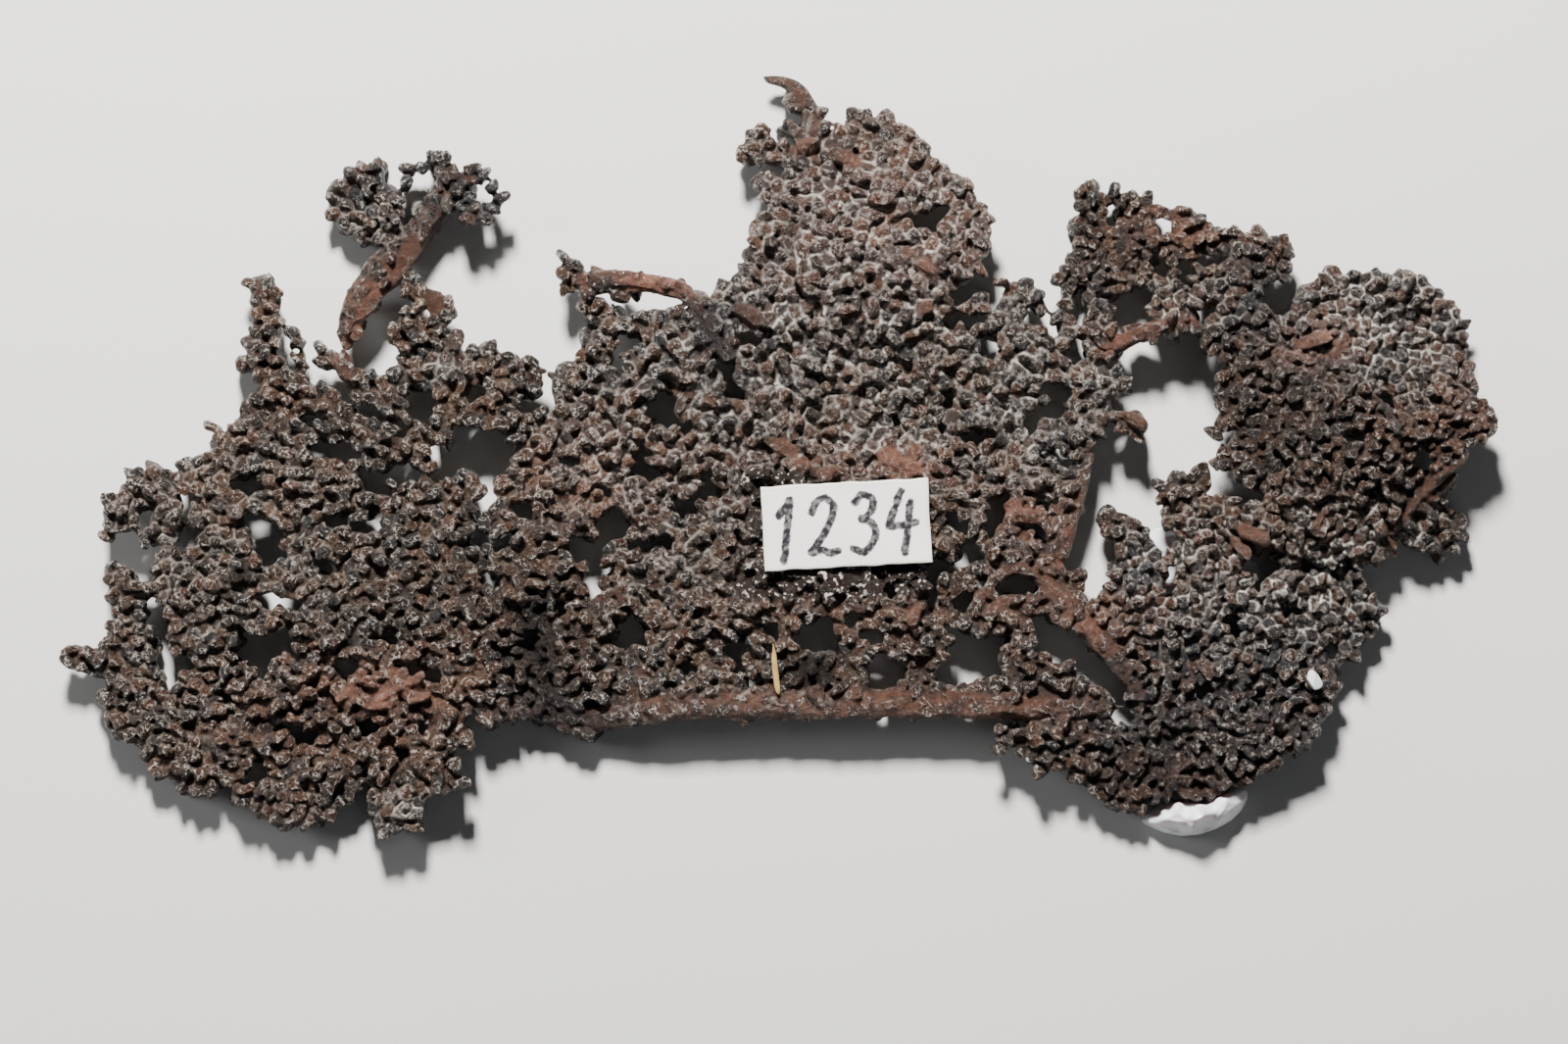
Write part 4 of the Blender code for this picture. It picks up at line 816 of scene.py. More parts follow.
# Smooth crystals among the nubs: middle, half length, half width, half height, turn.
FLAKES = (
    (12.6, -0.8, 1.9, 0.9, 0.6, -12), (10.7, 0.3, 1.3, 0.8, 0.5, 25),
    (13.4, 0.5, 1.0, 0.8, 0.5, 70), (5.0, -1.6, 1.3, 0.8, 0.6, 10), (0.9, 0.9, 1.4, 0.9, 0.6, -30),
    (2.3, -0.9, 1.2, 0.8, 0.6, 35), (-2.6, 13.6, 2.0, 1.0, 0.8, -35),
    (-37.0, -22.7, 1.9, 0.5, 0.6, 22), (-34.9, -21.5, 1.5, 0.45, 0.6, 38),
    (-38.4, -24.0, 1.5, 0.45, 0.6, 2), (-34.4, -23.2, 1.3, 0.45, 0.6, 12),
    (-41.8, -23.0, 1.4, 0.5, 0.6, 28), (46.2, -7.6, 1.9, 0.9, 0.6, -28),
    (44.9, -8.6, 1.5, 0.7, 0.6, -40), (52.0, 11.3, 1.9, 0.7, 0.6, 18),
    (53.8, 10.4, 1.2, 0.7, 0.5, 45), (24.2, -5.7, 1.4, 0.9, 0.6, -10),
    (22.8, -4.7, 1.2, 0.7, 0.5, 20), (14.6, 18.2, 1.3, 0.8, 0.7, -20),
    (6.8, 29.0, 1.6, 0.9, 0.7, -25), (14.4, 14.4, 1.0, 0.8, 0.7, 30),
    (3.8, -22.9, 1.2, 0.9, 0.6, -60), (7.4, -23.0, 1.1, 0.8, 0.6, 15),
    (13.4, -15.4, 1.3, 0.8, 0.7, 60), (52.4, -6.2, 1.3, 0.5, 0.6, 60),
    (2.9, 30.2, 1.4, 0.9, 0.9, 0), (34.6, 3.6, 1.6, 0.9, 0.7, -25), (-33.2, 15.0, 0.9, 1.5, 0.9, 0),
)

@lru_cache(maxsize=1)
def crystals() -> np.ndarray:
    """Where the small crystals sit on the stems.

    Each lies at a random place along its stem and at a random angle over it, which the stem's lean
    draws to its left or right side, at 0.8 of the stem's radius.

    Returns:
        Rows of x, y, rise over the middle, size and turn.
    """
    numbers = np.random.default_rng(SEED + 6)
    step, share = 0.2, 0.8
    rows = []
    for stem in STEMS:
        way, radii = stem.smooth_way(step)
        count = int(stem.crust * len(way) * step)
        pick = numbers.integers(1, len(way) - 1, count)
        ahead = way[pick + 1] - way[pick - 1]
        turn = np.arctan2(ahead[:, 1], ahead[:, 0])
        angle = np.clip(numbers.normal(0.5 * np.pi + stem.lean, 0.75, count), 0.05, np.pi - 0.05)
        reach = share * radii[pick]
        side = np.stack([-np.sin(turn), np.cos(turn)], axis=1)
        points = way[pick] + (reach * np.cos(angle))[:, None] * side
        size = np.minimum(numbers.uniform(0.26, 0.62, count), 0.62 * radii[pick])
        rows.append(np.column_stack([points, stem.rise + reach * np.sin(angle), size, turn]))
    return np.vstack(rows)


def crusted(points: np.ndarray) -> np.ndarray:
    """How much the stems' crystals cover each place in plan: 1 within a crystal, with a soft rim.

    Args:
        points: N places.

    Returns:
        N values.
    """
    found = np.zeros(len(points))
    for x, y, _, size, _ in crystals():
        box = (np.abs(points[:, :2] - np.array([x, y])) < 1.6 * size).all(axis=1)
        away = np.linalg.norm(points[box, :2] - np.array([x, y]), axis=1) / size
        found[box] = np.maximum(found[box], smoothstep(1.25, 0.8, away))
    return found


NUB_VALUES = ("centres", "radii", "turns", "tilts", "blockiness", "tints", "planes")


@dataclass
class Nubs:
    """Many rounded, blocky copper crystals, each a stretched and turned lump."""

    centres: np.ndarray
    radii: np.ndarray
    turns: np.ndarray
    tilts: np.ndarray
    blockiness: np.ndarray
    tints: np.ndarray
    planes: np.ndarray | None = None
    neighbours: int = 8

    def __post_init__(self) -> None:
        if self.planes is None:
            self.planes = np.tile([0.0, 0.0, 1.0, 99.0], (len(self.centres), self.neighbours, 1))

    def __len__(self) -> int:
        return len(self.centres)

    def fitted(self, groove: np.ndarray) -> "Nubs":
        """The nubs with planes that keep each clear of its nearest neighbours.

        A plane faces each neighbour and stands off by the nub's share of the way to it, less half a
        groove.

        Args:
            groove: How wide the groove round each nub is.

        Returns:
            The nubs.
        """
        rows = []
        reach = self.radii[:, :2].mean(axis=1)
        for some in np.array_split(np.arange(len(self)), 1 + len(self) // 500):
            away = self.centres[None] - self.centres[some][:, None]
            far = (away**2).sum(axis=2)
            far[np.arange(len(some)), some] = 1e9
            near = np.argpartition(far, self.neighbours, axis=1)[:, : self.neighbours]
            way = np.take_along_axis(away, near[..., None], axis=1)
            length = np.linalg.norm(way, axis=2)
            share = reach[some][:, None] / (reach[some][:, None] + reach[near])
            offset = length * share - 0.5 * groove[some][:, None]
            rows.append(np.concatenate([way / length[..., None], offset[..., None]], axis=2))
        return replace(self, planes=np.vstack(rows))

    def chosen(self, keep: np.ndarray) -> "Nubs":
        """The nubs that a mask or a list of numbers picks.

        Args:
            keep: The mask.

        Returns:
            Those nubs.
        """
        return Nubs(*(getattr(self, name)[keep] for name in NUB_VALUES))

    @staticmethod
    def joined(groups: list["Nubs"]) -> "Nubs":
        """Several groups as one.

        Args:
            groups: The groups.

        Returns:
            All their nubs.
        """
        return Nubs(
            *(np.concatenate([getattr(group, name) for group in groups]) for name in NUB_VALUES)
        )

    def frames(self) -> np.ndarray:
        """Each nub's axes: turned about the vertical, then leaned by its two tilts.

        Returns:
            N x 3 x 3 rotations.
        """
        cosine, sine = np.cos(self.turns), np.sin(self.turns)
        zero, one = np.zeros_like(cosine), np.ones_like(cosine)
        turn = np.array(
            [[cosine, -sine, zero], [sine, cosine, zero], [zero, zero, one]]
        ).transpose(2, 0, 1)
        a, b = self.tilts.T
        lean_x = np.array(
            [[one, zero, zero], [zero, np.cos(a), -np.sin(a)], [zero, np.sin(a), np.cos(a)]]
        ).transpose(2, 0, 1)
        lean_y = np.array(
            [[np.cos(b), zero, np.sin(b)], [zero, one, zero], [-np.sin(b), zero, np.cos(b)]]
        ).transpose(2, 0, 1)
        return lean_x @ lean_y @ turn

    def add_to(
        self, surface: Surface, seed: int, around: int = 14, levels: int = 8, cuts: int = 6
    ) -> None:
        """Adds every nub as a closed lump.

        With longitude u and latitude v, the unit point is (C(v) C(u), C(v) S(u), S(v)), where C and S are
        the cosine and the sine raised to the nub's blockiness with their signs kept. It is pushed in and
        out by two slow waves round it, flattened by some planes that face random ways, stretched by the
        nub's radii, turned by its axes, held behind the planes that face its neighbours, and moved.

        Args:
            surface: What the lumps are added to.
            seed: Picks the waves and the planes.
            around: Points round each level.
            levels: Levels between the poles.
            cuts: How many planes flatten each nub.
        """
        count = len(self)
        if count == 0:
            return
        numbers = np.random.default_rng(seed)
        u = np.tile(np.linspace(0.0, 2.0 * np.pi, around, endpoint=False), levels)
        v = np.repeat(np.linspace(-0.5 * np.pi, 0.5 * np.pi, levels + 2)[1:-1], around)
        u, v = np.concatenate([u, [0.0, 0.0]]), np.concatenate([v, [-0.5 * np.pi, 0.5 * np.pi]])
        power = self.blockiness[:, None]

        def shaped(values: np.ndarray) -> np.ndarray:
            return np.sign(values) * np.abs(values) ** power

        flat = shaped(np.cos(v)[None, :])
        unit = np.stack(
            [
                flat * shaped(np.cos(u)[None, :]), flat * shaped(np.sin(u)[None, :]),
                shaped(np.sin(v)[None, :])
            ],
            axis=-1
        )
        phase = numbers.uniform(0.0, 2.0 * np.pi, (count, 3, 1))
        size = numbers.uniform(0.05, 0.16, (count, 2, 1))
        swell = 1.0 + size[:, 0] * np.sin(2.0 * u + phase[:, 0]) * np.cos(v) + size[:, 1] * np.sin(
            3.0 * v + 2.0 * u + phase[:, 1]
        )
        places = unit * swell[..., None]
        for _ in range(cuts):
            facing = numbers.normal(size=(count, 1, 3))
            facing /= np.linalg.norm(facing, axis=2, keepdims=True)
            over = (places * facing).sum(axis=2, keepdims=True) - numbers.uniform(
                0.6, 0.9, (count, 1, 1)
            )
            places = places - np.maximum(over, 0.0) * 0.95 * facing
        places = places * self.radii[:, None, :]
        places = np.einsum("nij,nkj->nki", self.frames(), places)
        for facing, offset in zip(self.planes[..., :3].transpose(1, 0, 2), self.planes[..., 3].T):
            over = (places * facing[:, None]).sum(axis=2, keepdims=True) - offset[:, None, None]
            places = places - np.maximum(over, 0.0) * facing[:, None]
        places = places + self.centres[:, None, :]
        per = around * levels + 2
        ring = np.arange(around)
        after = (ring + 1) % around
        quads = np.vstack(
            [
                np.stack(
                    [
                        k * around + ring, k * around + after, (k + 1) * around + after,
                        (k + 1) * around + ring
                    ],
                    axis=1
                )
                for k in range(levels - 1)
            ]
        )
        last = (levels - 1) * around
        caps = np.vstack([cap(per - 2, after, ring), cap(per - 1, last + ring, last + after)])
        shift = (np.arange(count) * per)[:, None, None]
        surface.add(
            places.reshape(-1, 3), (quads + shift).reshape(-1, 4), (caps + shift).reshape(-1, 3)
        )


@dataclass
class Grower:
    """Grows the nubs, core and stems of the leaf from its plan."""

    plan: Plan
    half_thickness: float = 1.3
    rounding: float = 1.5
    core_share: float = 0.5
    under_spacing: float = 2.3
    groove: float = 0.17
    dust_fill: float = 0.09
    inset: float = 0.42
    clear: float = 0.86
    stretch: tuple[float, float] = (0.95, 1.7)
    fullness: tuple[float, float] = (0.56, 0.76)
    core_edge: float = 0.28
    crumb_share: float = 0.38
    crumb_size: tuple[float, float] = (0.14, 0.32)
    seed: int = SEED

    def swell(self, depth: np.ndarray) -> np.ndarray:
        """How full the leaf is at a depth from its edge: a quarter circle up to full.

        Args:
            depth: Distances inside the edge.

        Returns:
            Values from 0 to 1.
        """
        short = 1.0 - np.clip(depth / self.rounding, 0.0, 1.0)
        return np.sqrt(1.0 - short**2)

    def top(self, points: np.ndarray) -> np.ndarray:
        """The height of the upper skin: the middle plus the half thickness, rounded off at the edge.

        Args:
            points: N places.

        Returns:
            N heights.
        """
        return self.plan.middle.at(points) + self.half_thickness * self.swell(
            self.plan.depth.at(points)
        )

    def scatter(self, spacing_of: Field, seed: int) -> tuple[np.ndarray, np.ndarray]:
        """Places over the leaf, each clear of the others by its own spacing, those near an edge first.

        Args:
            spacing_of: Gives the wished spacing at N places.
            seed: Picks the places.

        Returns:
            N x 2 places and the spacing at each.
        """
        numbers = np.random.default_rng(seed)
        points = self.plan.grid_points()
        points = points + numbers.uniform(-0.5, 0.5, points.shape) * self.plan.step
        spacing = spacing_of(points)
        depth = self.plan.depth.at(points)
        inset = self.inset * spacing
        points, spacing, depth, inset = (
            a[depth > inset * 0.8] for a in (points, spacing, depth, inset)
        )
        edge_first = np.where(depth < inset * 1.25, 0.0, 1.0)
        order = np.argsort(edge_first + numbers.uniform(0.0, 0.9, len(points)))
        cell = 2.2
        table: dict[tuple[int, int], list[tuple[float, float]]] = {}
        kept = []
        for number in order.tolist():
            x, y = points[number].tolist()
            clear = (spacing[number] * self.clear) ** 2
            i, j = int(x // cell), int(y // cell)
            near = (table.get((i + a, j + b), ()) for a in (-1, 0, 1) for b in (-1, 0, 1))
            if all((x - p) ** 2 + (y - q) ** 2 > clear for group in near for p, q in group):
                table.setdefault((i, j), []).append((x, y))
                kept.append(number)
        return points[kept], spacing[kept]

    def stem_distance(self, points: np.ndarray, flakes: tuple = FLAKES) -> np.ndarray:
        """How far each place is from the nearest stem's or flake's skin, in plan.

        Args:
            points: N x 2 places.
            flakes: The flakes that count.

        Returns:
            N distances, negative over a stem.
        """
        nearest = np.full(len(points), np.inf)
        flat = points[:, :2]
        for stem in STEMS:
            way, radii = stem.smooth_way(0.5)
            box = ((flat > way.min(axis=0) - 2.5) & (flat < way.max(axis=0) + 2.5)).all(axis=1)
            away = np.linalg.norm(flat[box][:, None, :] - way[None], axis=2) - radii[None]
            if box.any():
                nearest[box] = np.minimum(nearest[box], away.min(axis=1))
        for x, y, half_length, half_width, _, turn in flakes:
            box = np.abs(flat - np.array([x, y])).max(axis=1) < half_length + 1.0
            radius = oval_radius(flat[box], (x, y), (half_length, half_width), turn)
            nearest[box] = np.minimum(nearest[box], (radius - 1.0) * half_width)
        return nearest

    def grain(self, points: np.ndarray) -> np.ndarray:
        """Which way the nubs are drawn out, as an angle: outward in the left fan, along rows elsewhere.

        Args:
            points: N x 2 places.

        Returns:
            N angles.
        """
        outward = np.arctan2(points[:, 1] + 14.0, points[:, 0] + 20.0)
        left = smoothstep(-24.0, -34.0, points[:, 0])
        return left * outward + (1 - left) * 0.5 * waves(points, 22.0, self.seed + 5)

    def layer(self, side: float, spacing_of: Field, seed: int, clear_of_stems: bool) -> Nubs:
        """One side's nubs.

        Args:
            side: +1 for the top, -1 for the underside.
            spacing_of: Gives the wished spacing at N places.
            seed: Picks the nubs.
            clear_of_stems: Whether they leave the stems bare.

        Returns:
            The nubs.
        """
        numbers = np.random.default_rng(seed)
        points, spacing = self.scatter(spacing_of, seed)
        if clear_of_stems:
            keep = self.stem_distance(points) > -0.15
            points, spacing = points[keep], spacing[keep]
        count = len(points)
        depth = self.plan.depth.at(points)
        stretch = numbers.uniform(*self.stretch, count)
        size = np.minimum(spacing * numbers.uniform(*self.fullness, count), depth + self.core_edge)
        radii = np.stack(
            [size * stretch, size / np.sqrt(stretch), size * numbers.uniform(0.8, 1.2, count)],
            axis=1
        )
        relief = 0.3 * waves(points, 6.5, self.seed + 11) + 0.18 * waves(
            points, 3.2, self.seed + 12
        )
        relief = relief * smoothstep(0.8, 2.5, depth) + numbers.normal(0.0, 0.16, count)
        full = self.half_thickness * self.swell(depth)
        height = self.plan.middle.at(points) + side * (full - 0.38 * radii[:, 2] + relief)
        height = np.where(
            CARD.covers(points, 0.2), np.minimum(height, CARD.underside - 0.12 - radii[:, 2]),
            height
        )
        loose = 0.6 + 0.8 * smoothstep(-30.0, -20.0, points[:, 0])
        turns = self.grain(points) + numbers.normal(0.0, 1.0, count) * loose
        tilts = numbers.normal(0.0, 0.32, (count, 2))
        grown = Nubs(
            np.column_stack([points, height]), radii, turns, tilts, numbers.uniform(*BLOCKY, count),
            numbers.uniform(-1.0, 1.0, count)
        )
        return grown.fitted(self.groove - self.dust_fill * np.clip(patched(points, PALE), 0.0, 1.0))

    def crumbs(self, base: Nubs, seed: int) -> Nubs:
        """Small crystals that sit on the nubs' upper sides.

        Args:
            base: The nubs that carry them.
            seed: Picks the crystals.

        Returns:
            The small crystals.
        """
        numbers = np.random.default_rng(seed)
        carriers = np.repeat(np.arange(len(base)), 2)
        carriers = carriers[numbers.uniform(size=len(carriers)) < self.crumb_share]
        carriers = carriers[~CARD.covers(base.centres[carriers], 0.6)]
        count = len(carriers)
        angle = numbers.uniform(0.0, 2.0 * np.pi, count)
        lift = numbers.uniform(0.15, 1.0, count)
        away = np.stack(
            [np.cos(angle) * np.sqrt(1 - lift**2), np.sin(angle) * np.sqrt(1 - lift**2), lift],
            axis=1
        )
        centres = base.centres[carriers] + away * base.radii[carriers] * 0.82
        size = numbers.uniform(*self.crumb_size, count)
        radii = size[:, None] * numbers.uniform(0.75, 1.3, (count, 3))
        return Nubs(
            centres, radii, angle, numbers.normal(0.0, 0.5, (count, 2)),
            numbers.uniform(*BLOCKY, count), base.tints[carriers] + numbers.normal(0.0, 0.3, count)
        )

    def flakes(self) -> Nubs:
        """The smooth crystals, half sunk in the upper skin.

        Returns:
            The crystals.
        """
        rows = np.array(FLAKES)
        points = rows[:, :2]
        numbers = np.random.default_rng(self.seed + 3)
        height = self.top(points) + numbers.uniform(0.0, 0.42, len(rows))
        return Nubs(
            np.column_stack([points, height]), rows[:, 2:5], np.radians(rows[:, 5]),
            numbers.normal(0.0, 0.2, (len(rows), 2)), np.full(len(rows), 0.6),
            numbers.uniform(0.2, 1.0, len(rows))
        )

    def crust(self) -> Nubs:
        """The small crystals that crowd a stem's sides and top.

        Returns:
            The crystals.
        """
        rows = crystals()
        points = rows[:, :2]
        numbers = np.random.default_rng(self.seed + 4)
        height = self.plan.middle.at(points) + rows[:, 2]
        radii = rows[:, 3:4] * np.stack(
            [
                numbers.uniform(1.1, 1.8, len(rows)), numbers.uniform(0.65, 0.9, len(rows)),
                numbers.uniform(0.7, 1.0, len(rows))
            ],
            axis=1
        )
        return Nubs(
            np.column_stack([points, height]), radii,
            rows[:, 4] + numbers.normal(0.0, 0.35, len(rows)),
            numbers.normal(0.0, 0.3, (len(rows), 2)), numbers.uniform(*BLOCKY, len(rows)),
            numbers.uniform(-1.0, 1.0, len(rows))
        )

    def add_core(self, surface: Surface, number: int) -> None:
        """Adds a branch's core: a sheet between two grid surfaces, walled where the grid's cells end.

        Its two skins stand off the middle surface by a share of the leaf's half thickness.

        Args:
            surface: What the core is added to.
            number: The branch's number.
        """
        plan = self.plan
        columns, rows = plan.shape
        depth, owner = plan.depth.values, plan.owner
        mine = (depth > self.core_edge) & ((owner == number) | (owner < 0))
        solid = mine[:-1, :-1] & mine[1:, :-1] & mine[:-1, 1:] & mine[1:, 1:]
        owned = owner == number
        solid &= owned[:-1, :-1] | owned[1:, :-1] | owned[:-1, 1:] | owned[1:, 1:]
        points = plan.grid_points()
        middle = plan.middle.at(points)
        half = self.half_thickness * self.core_share * self.swell(depth.ravel()) + 0.1
        top, under = np.column_stack([points, middle + half]), np.column_stack(
            [points, middle - half]
        )
        i, j = np.nonzero(solid)
        corner = i * rows + j
        a, b, c, d = corner, corner + rows, corner + rows + 1, corner + 1
        below = columns * rows
        quads = [np.stack([a, b, c, d], axis=1), np.stack([d, c, b, a], axis=1) + below]
        padded = np.pad(solid, 1)
        sides = (
            (padded[i + 1, j], a, b), (padded[i + 2, j + 1], b, c), (padded[i + 1, j + 2], c, d),
            (padded[i, j + 1], d, a)
        )
        for filled, start, end in sides:
            start, end = start[~filled], end[~filled]
            quads.append(np.stack([start, start + below, end + below, end], axis=1))
        quads = np.vstack(quads)
        used, local = np.unique(quads, return_inverse=True)
        surface.add(np.vstack([top, under])[used], local.reshape(-1, 4))

    def add_stem(self, surface: Surface, stem: Stem, around: int = 28) -> None:
        """Adds a stem: a round profile, fluted and wavering, carried along the stem's way.

        At each step along it the profile's point at angle a lies at the radius times one plus three
        slow flutes, sideways by its cosine and upward by its sine. Both ends close to a point.

        Args:
            surface: What the stem is added to.
            stem: The stem.
            around: Points round the profile.
        """
        way, radii = stem.smooth_way()
        ahead = np.gradient(way, axis=0)
        ahead /= np.linalg.norm(ahead, axis=1)[:, None]
        side = np.stack([-ahead[:, 1], ahead[:, 0]], axis=1)
        place = np.arange(len(way)) * STEM_STEP
        middle = self.plan.middle.at(way) + stem.rise
        angle = np.linspace(0.0, 2.0 * np.pi, around, endpoint=False)
        phase = 0.15 * place[:, None]
        flutes = 0.97 + 0.13 * np.abs(np.sin(2.5 * angle + phase)) + 0.06 * np.abs(
            np.sin(4.5 * angle - 2 * phase)
        )
        waver = 1.0 + 0.05 * waves(
            np.column_stack([place, place]), 5.0, int(abs(way[0, 0]) * 10)
        )[:, None]
        blunt = np.sqrt(np.clip(np.minimum(place, place[-1] - place) / 0.6, 0.0, 1.0))[:, None]
        unrolled = np.stack(
            [0.4 * place[:, None] + 0 * angle, 1.6 * angle + 0 * phase], axis=-1
        ).reshape(-1, 2)
        chips = 1.0 - 0.13 * np.maximum(
            waves(unrolled, 1.4, int(abs(way[0, 1]) * 7)).reshape(len(place), around), 0.0
        )
        reach = radii[:, None] * flutes * waver * chips * np.maximum(blunt, 0.02)
        across = reach * np.cos(angle)
        ring = np.concatenate(
            [
                way[:, None, :] + across[..., None] * side[:, None, :],
                (
                    middle[:, None]
                    + np.minimum(0.92, 1.15 / radii[:, None]) * reach * np.sin(angle)
                )[..., None]
            ],
            axis=2
        )
        steps = len(way)
        k, a = np.meshgrid(np.arange(steps - 1), np.arange(around), indexing="ij")
        b = (a + 1) % around
        quads = np.stack(
            [k * around + a, (k + 1) * around + a, (k + 1) * around + b, k * around + b], axis=-1
        ).reshape(-1, 4)
        ends = [
            np.array([way[0, 0], way[0, 1], middle[0]]),
            np.array([way[-1, 0], way[-1, 1], middle[-1]])
        ]
        first = np.arange(around)
        after = (first + 1) % around
        last = (steps - 1) * around
        tip = steps * around
        caps = np.vstack([cap(tip, first, after), cap(tip + 1, last + after, last + first)])
        surface.add(np.vstack([ring.reshape(-1, 3), ends]), quads, caps)


# ---------------------------------------------------------------------------------------------
# Fusing and measuring a branch


@dataclass
class Mesh:
    """A triangle mesh as arrays: places in millimetres, triangles and the edges between neighbours."""

    verts: np.ndarray
    faces: np.ndarray
    edges: np.ndarray = field(init=False)
    valence: np.ndarray = field(init=False)

    def __post_init__(self) -> None:
        pairs = np.vstack([self.faces[:, [0, 1]], self.faces[:, [1, 2]], self.faces[:, [2, 0]]])
        self.edges = np.vstack([pairs, pairs[:, ::-1]])
        self.valence = np.maximum(np.bincount(self.edges[:, 0], minlength=len(self.verts)), 1)

    def spread(self, values: np.ndarray) -> np.ndarray:
        """Each vertex's mean over its neighbours.

        Args:
            values: N or N x K values.

        Returns:
            As many means.
        """
        start, end = self.edges.T
        if values.ndim == 1:
            return np.bincount(start, values[end], len(self.verts)) / self.valence
        return np.column_stack([self.spread(column) for column in values.T])

    def smoothed(self, values: np.ndarray, times: int, share: float = 0.5) -> np.ndarray:
        """Values drawn towards their neighbours' mean, some times over.

        Args:
            values: N or N x K values.
            times: How many rounds.
            share: How far they're drawn each round.

        Returns:
            The smoothed values.
        """
        for _ in range(times):
            values = values + share * (self.spread(values) - values)
        return values

    def normals(self) -> np.ndarray:
        """Each vertex's outward direction, weighted by its triangles' areas.

        Returns:
            N x 3 unit vectors.
        """
        a, b, c = (self.verts[self.faces[:, k]] for k in range(3))
        face = np.cross(b - a, c - a)
        total = np.zeros_like(self.verts)
        for corner in range(3):
            for axis in range(3):
                total[:, axis] += np.bincount(self.faces[:, corner], face[:, axis], len(self.verts))
        return total / np.maximum(np.linalg.norm(total, axis=1), 1e-12)[:, None]


def read_mesh(mesh: bpy.types.Mesh) -> Mesh:
    """A Blender mesh as arrays in millimetres.

    Args:
        mesh: The mesh, in metres.

    Returns:
        Its arrays.
    """
    return Mesh(*mesh_arrays(mesh))


def largest_body(skin: Mesh) -> Mesh:
    """The largest joined body of a mesh, without the specks that thinning leaves loose.

    Each vertex points at itself. Every triangle's pointed-at vertices then point at the least of
    them, and pointers are followed to their ends, until each triangle points at one vertex.

    Args:
        skin: The mesh.

    Returns:
        Its largest body.
    """
    points_at = np.arange(len(skin.verts))
    while True:
        held = points_at[skin.faces]
        least = held.min(axis=1)
        if (held == least[:, None]).all():
            break
        np.minimum.at(points_at, held.ravel(), np.repeat(least, 3))
        while (points_at[points_at] != points_at).any():
            points_at = points_at[points_at]
    faces = skin.faces[least == np.bincount(least).argmax()]
    used, local = np.unique(faces, return_inverse=True)
    return Mesh(skin.verts[used], local.reshape(-1, 3).astype(np.int32))


def ease_underside(mesh: bpy.types.Mesh, middle: Grid, times: int = 6) -> None:
    """Smooths a fused mesh well under the leaf's middle, so that thinning spends its triangles above.

    Args:
        mesh: The mesh, in metres.
        middle: The leaf's middle height.
        times: How many rounds of smoothing.
    """
    skin = read_mesh(mesh)
    share = smoothstep(-0.4, -0.9, skin.verts[:, 2] - middle.at(skin.verts))[:, None]
    eased = skin.verts + share * (skin.smoothed(skin.verts, times) - skin.verts)
    mesh.vertices.foreach_set("co", (eased * MM).astype(np.float32).ravel())


def evaluated(made: bpy.types.Object) -> bpy.types.Mesh:
    """A new mesh of an object with its modifiers applied.

    Args:
        made: The object.

    Returns:
        The mesh.
    """
    graph = bpy.context.evaluated_depsgraph_get()
    return bpy.data.meshes.new_from_object(made.evaluated_get(graph))


def remeshed(name: str, surface: Surface, voxel: float, most: int, middle: Grid) -> Mesh:
    """A surface's closed shapes fused into one skin.

    Args:
        name: A name for the mesh while it's made.
        surface: The closed shapes.
        voxel: The fusing grid's spacing in millimetres.
        most: The most triangles wanted.
        middle: The leaf's middle height.

    Returns:
        The fused skin.
    """
    maker = add_object(name, surface.mesh(name))
    fuse = maker.modifiers.new("fuse", "REMESH")
    fuse.mode = "VOXEL"
    fuse.voxel_size = voxel * MM
    fuse.adaptivity = 0.0
    fused = evaluated(maker)
    count = 2 * len(fused.polygons)
    if count > most:
        ease_underside(fused, middle)
        maker.modifiers.remove(fuse)
        maker.data = fused
        thin = maker.modifiers.new("thin", "DECIMATE")
        thin.ratio = most / count
        fused = evaluated(maker)
    found = largest_body(read_mesh(fused))
    bpy.data.objects.remove(maker)
    LOG.info("%s: %d triangles, %d after thinning", name, count, len(found.faces))
    return found


def nearest_nub(
    points: np.ndarray, centres: np.ndarray, values: np.ndarray, cell: float = 2.0
) -> tuple[np.ndarray, np.ndarray]:
    """The value of the nub nearest each point, and how clear that nub is of the next.

    Args:
        points: N x 3 places.
        centres: M x 3 places.
        values: M values.
        cell: The side of a cell in plan.

    Returns:
        N values, and N distances: the second nearest centre's less the nearest's.
    """
    def cells(places: np.ndarray) -> np.ndarray:
        spots = np.floor(places[:, :2] / cell).astype(int) + COLUMN // 2
        return spots[:, 0] * COLUMN + spots[:, 1]

    point_cells, centre_cells = cells(points), cells(centres)
    order, centre_order = np.argsort(point_cells), np.argsort(centre_cells)
    held, starts = np.unique(point_cells[order], return_index=True)
    sorted_centres = centre_cells[centre_order]
    found, clear = np.zeros(len(points)), np.full(len(points), cell)
    for key, rows in zip(held.tolist(), np.split(order, starts[1:])):
        near = []
        for across in (-1, 0, 1):
            low = np.searchsorted(sorted_centres, key + across * COLUMN - 1, "left")
            high = np.searchsorted(sorted_centres, key + across * COLUMN + 1, "right")
            near.append(centre_order[low:high])
        near = np.concatenate(near)
        if len(near) > 1:
            away = ((points[rows][:, None, :] - centres[near][None]) ** 2).sum(axis=2)
            found[rows] = values[near[away.argmin(axis=1)]]
            two = np.sqrt(np.partition(away, 1, axis=1)[:, :2])
            clear[rows] = two[:, 1] - two[:, 0]
    return found, clear


def clamped(verts: np.ndarray) -> np.ndarray:
    """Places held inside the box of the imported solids.

    Args:
        verts: N x 3 places in millimetres.

    Returns:
        The places, none outside the box.
    """
    low, high = (np.array(corner, float) / MM for corner in CAD_BOUNDS)
    return np.clip(verts, low + CLEARANCE, high - CLEARANCE)


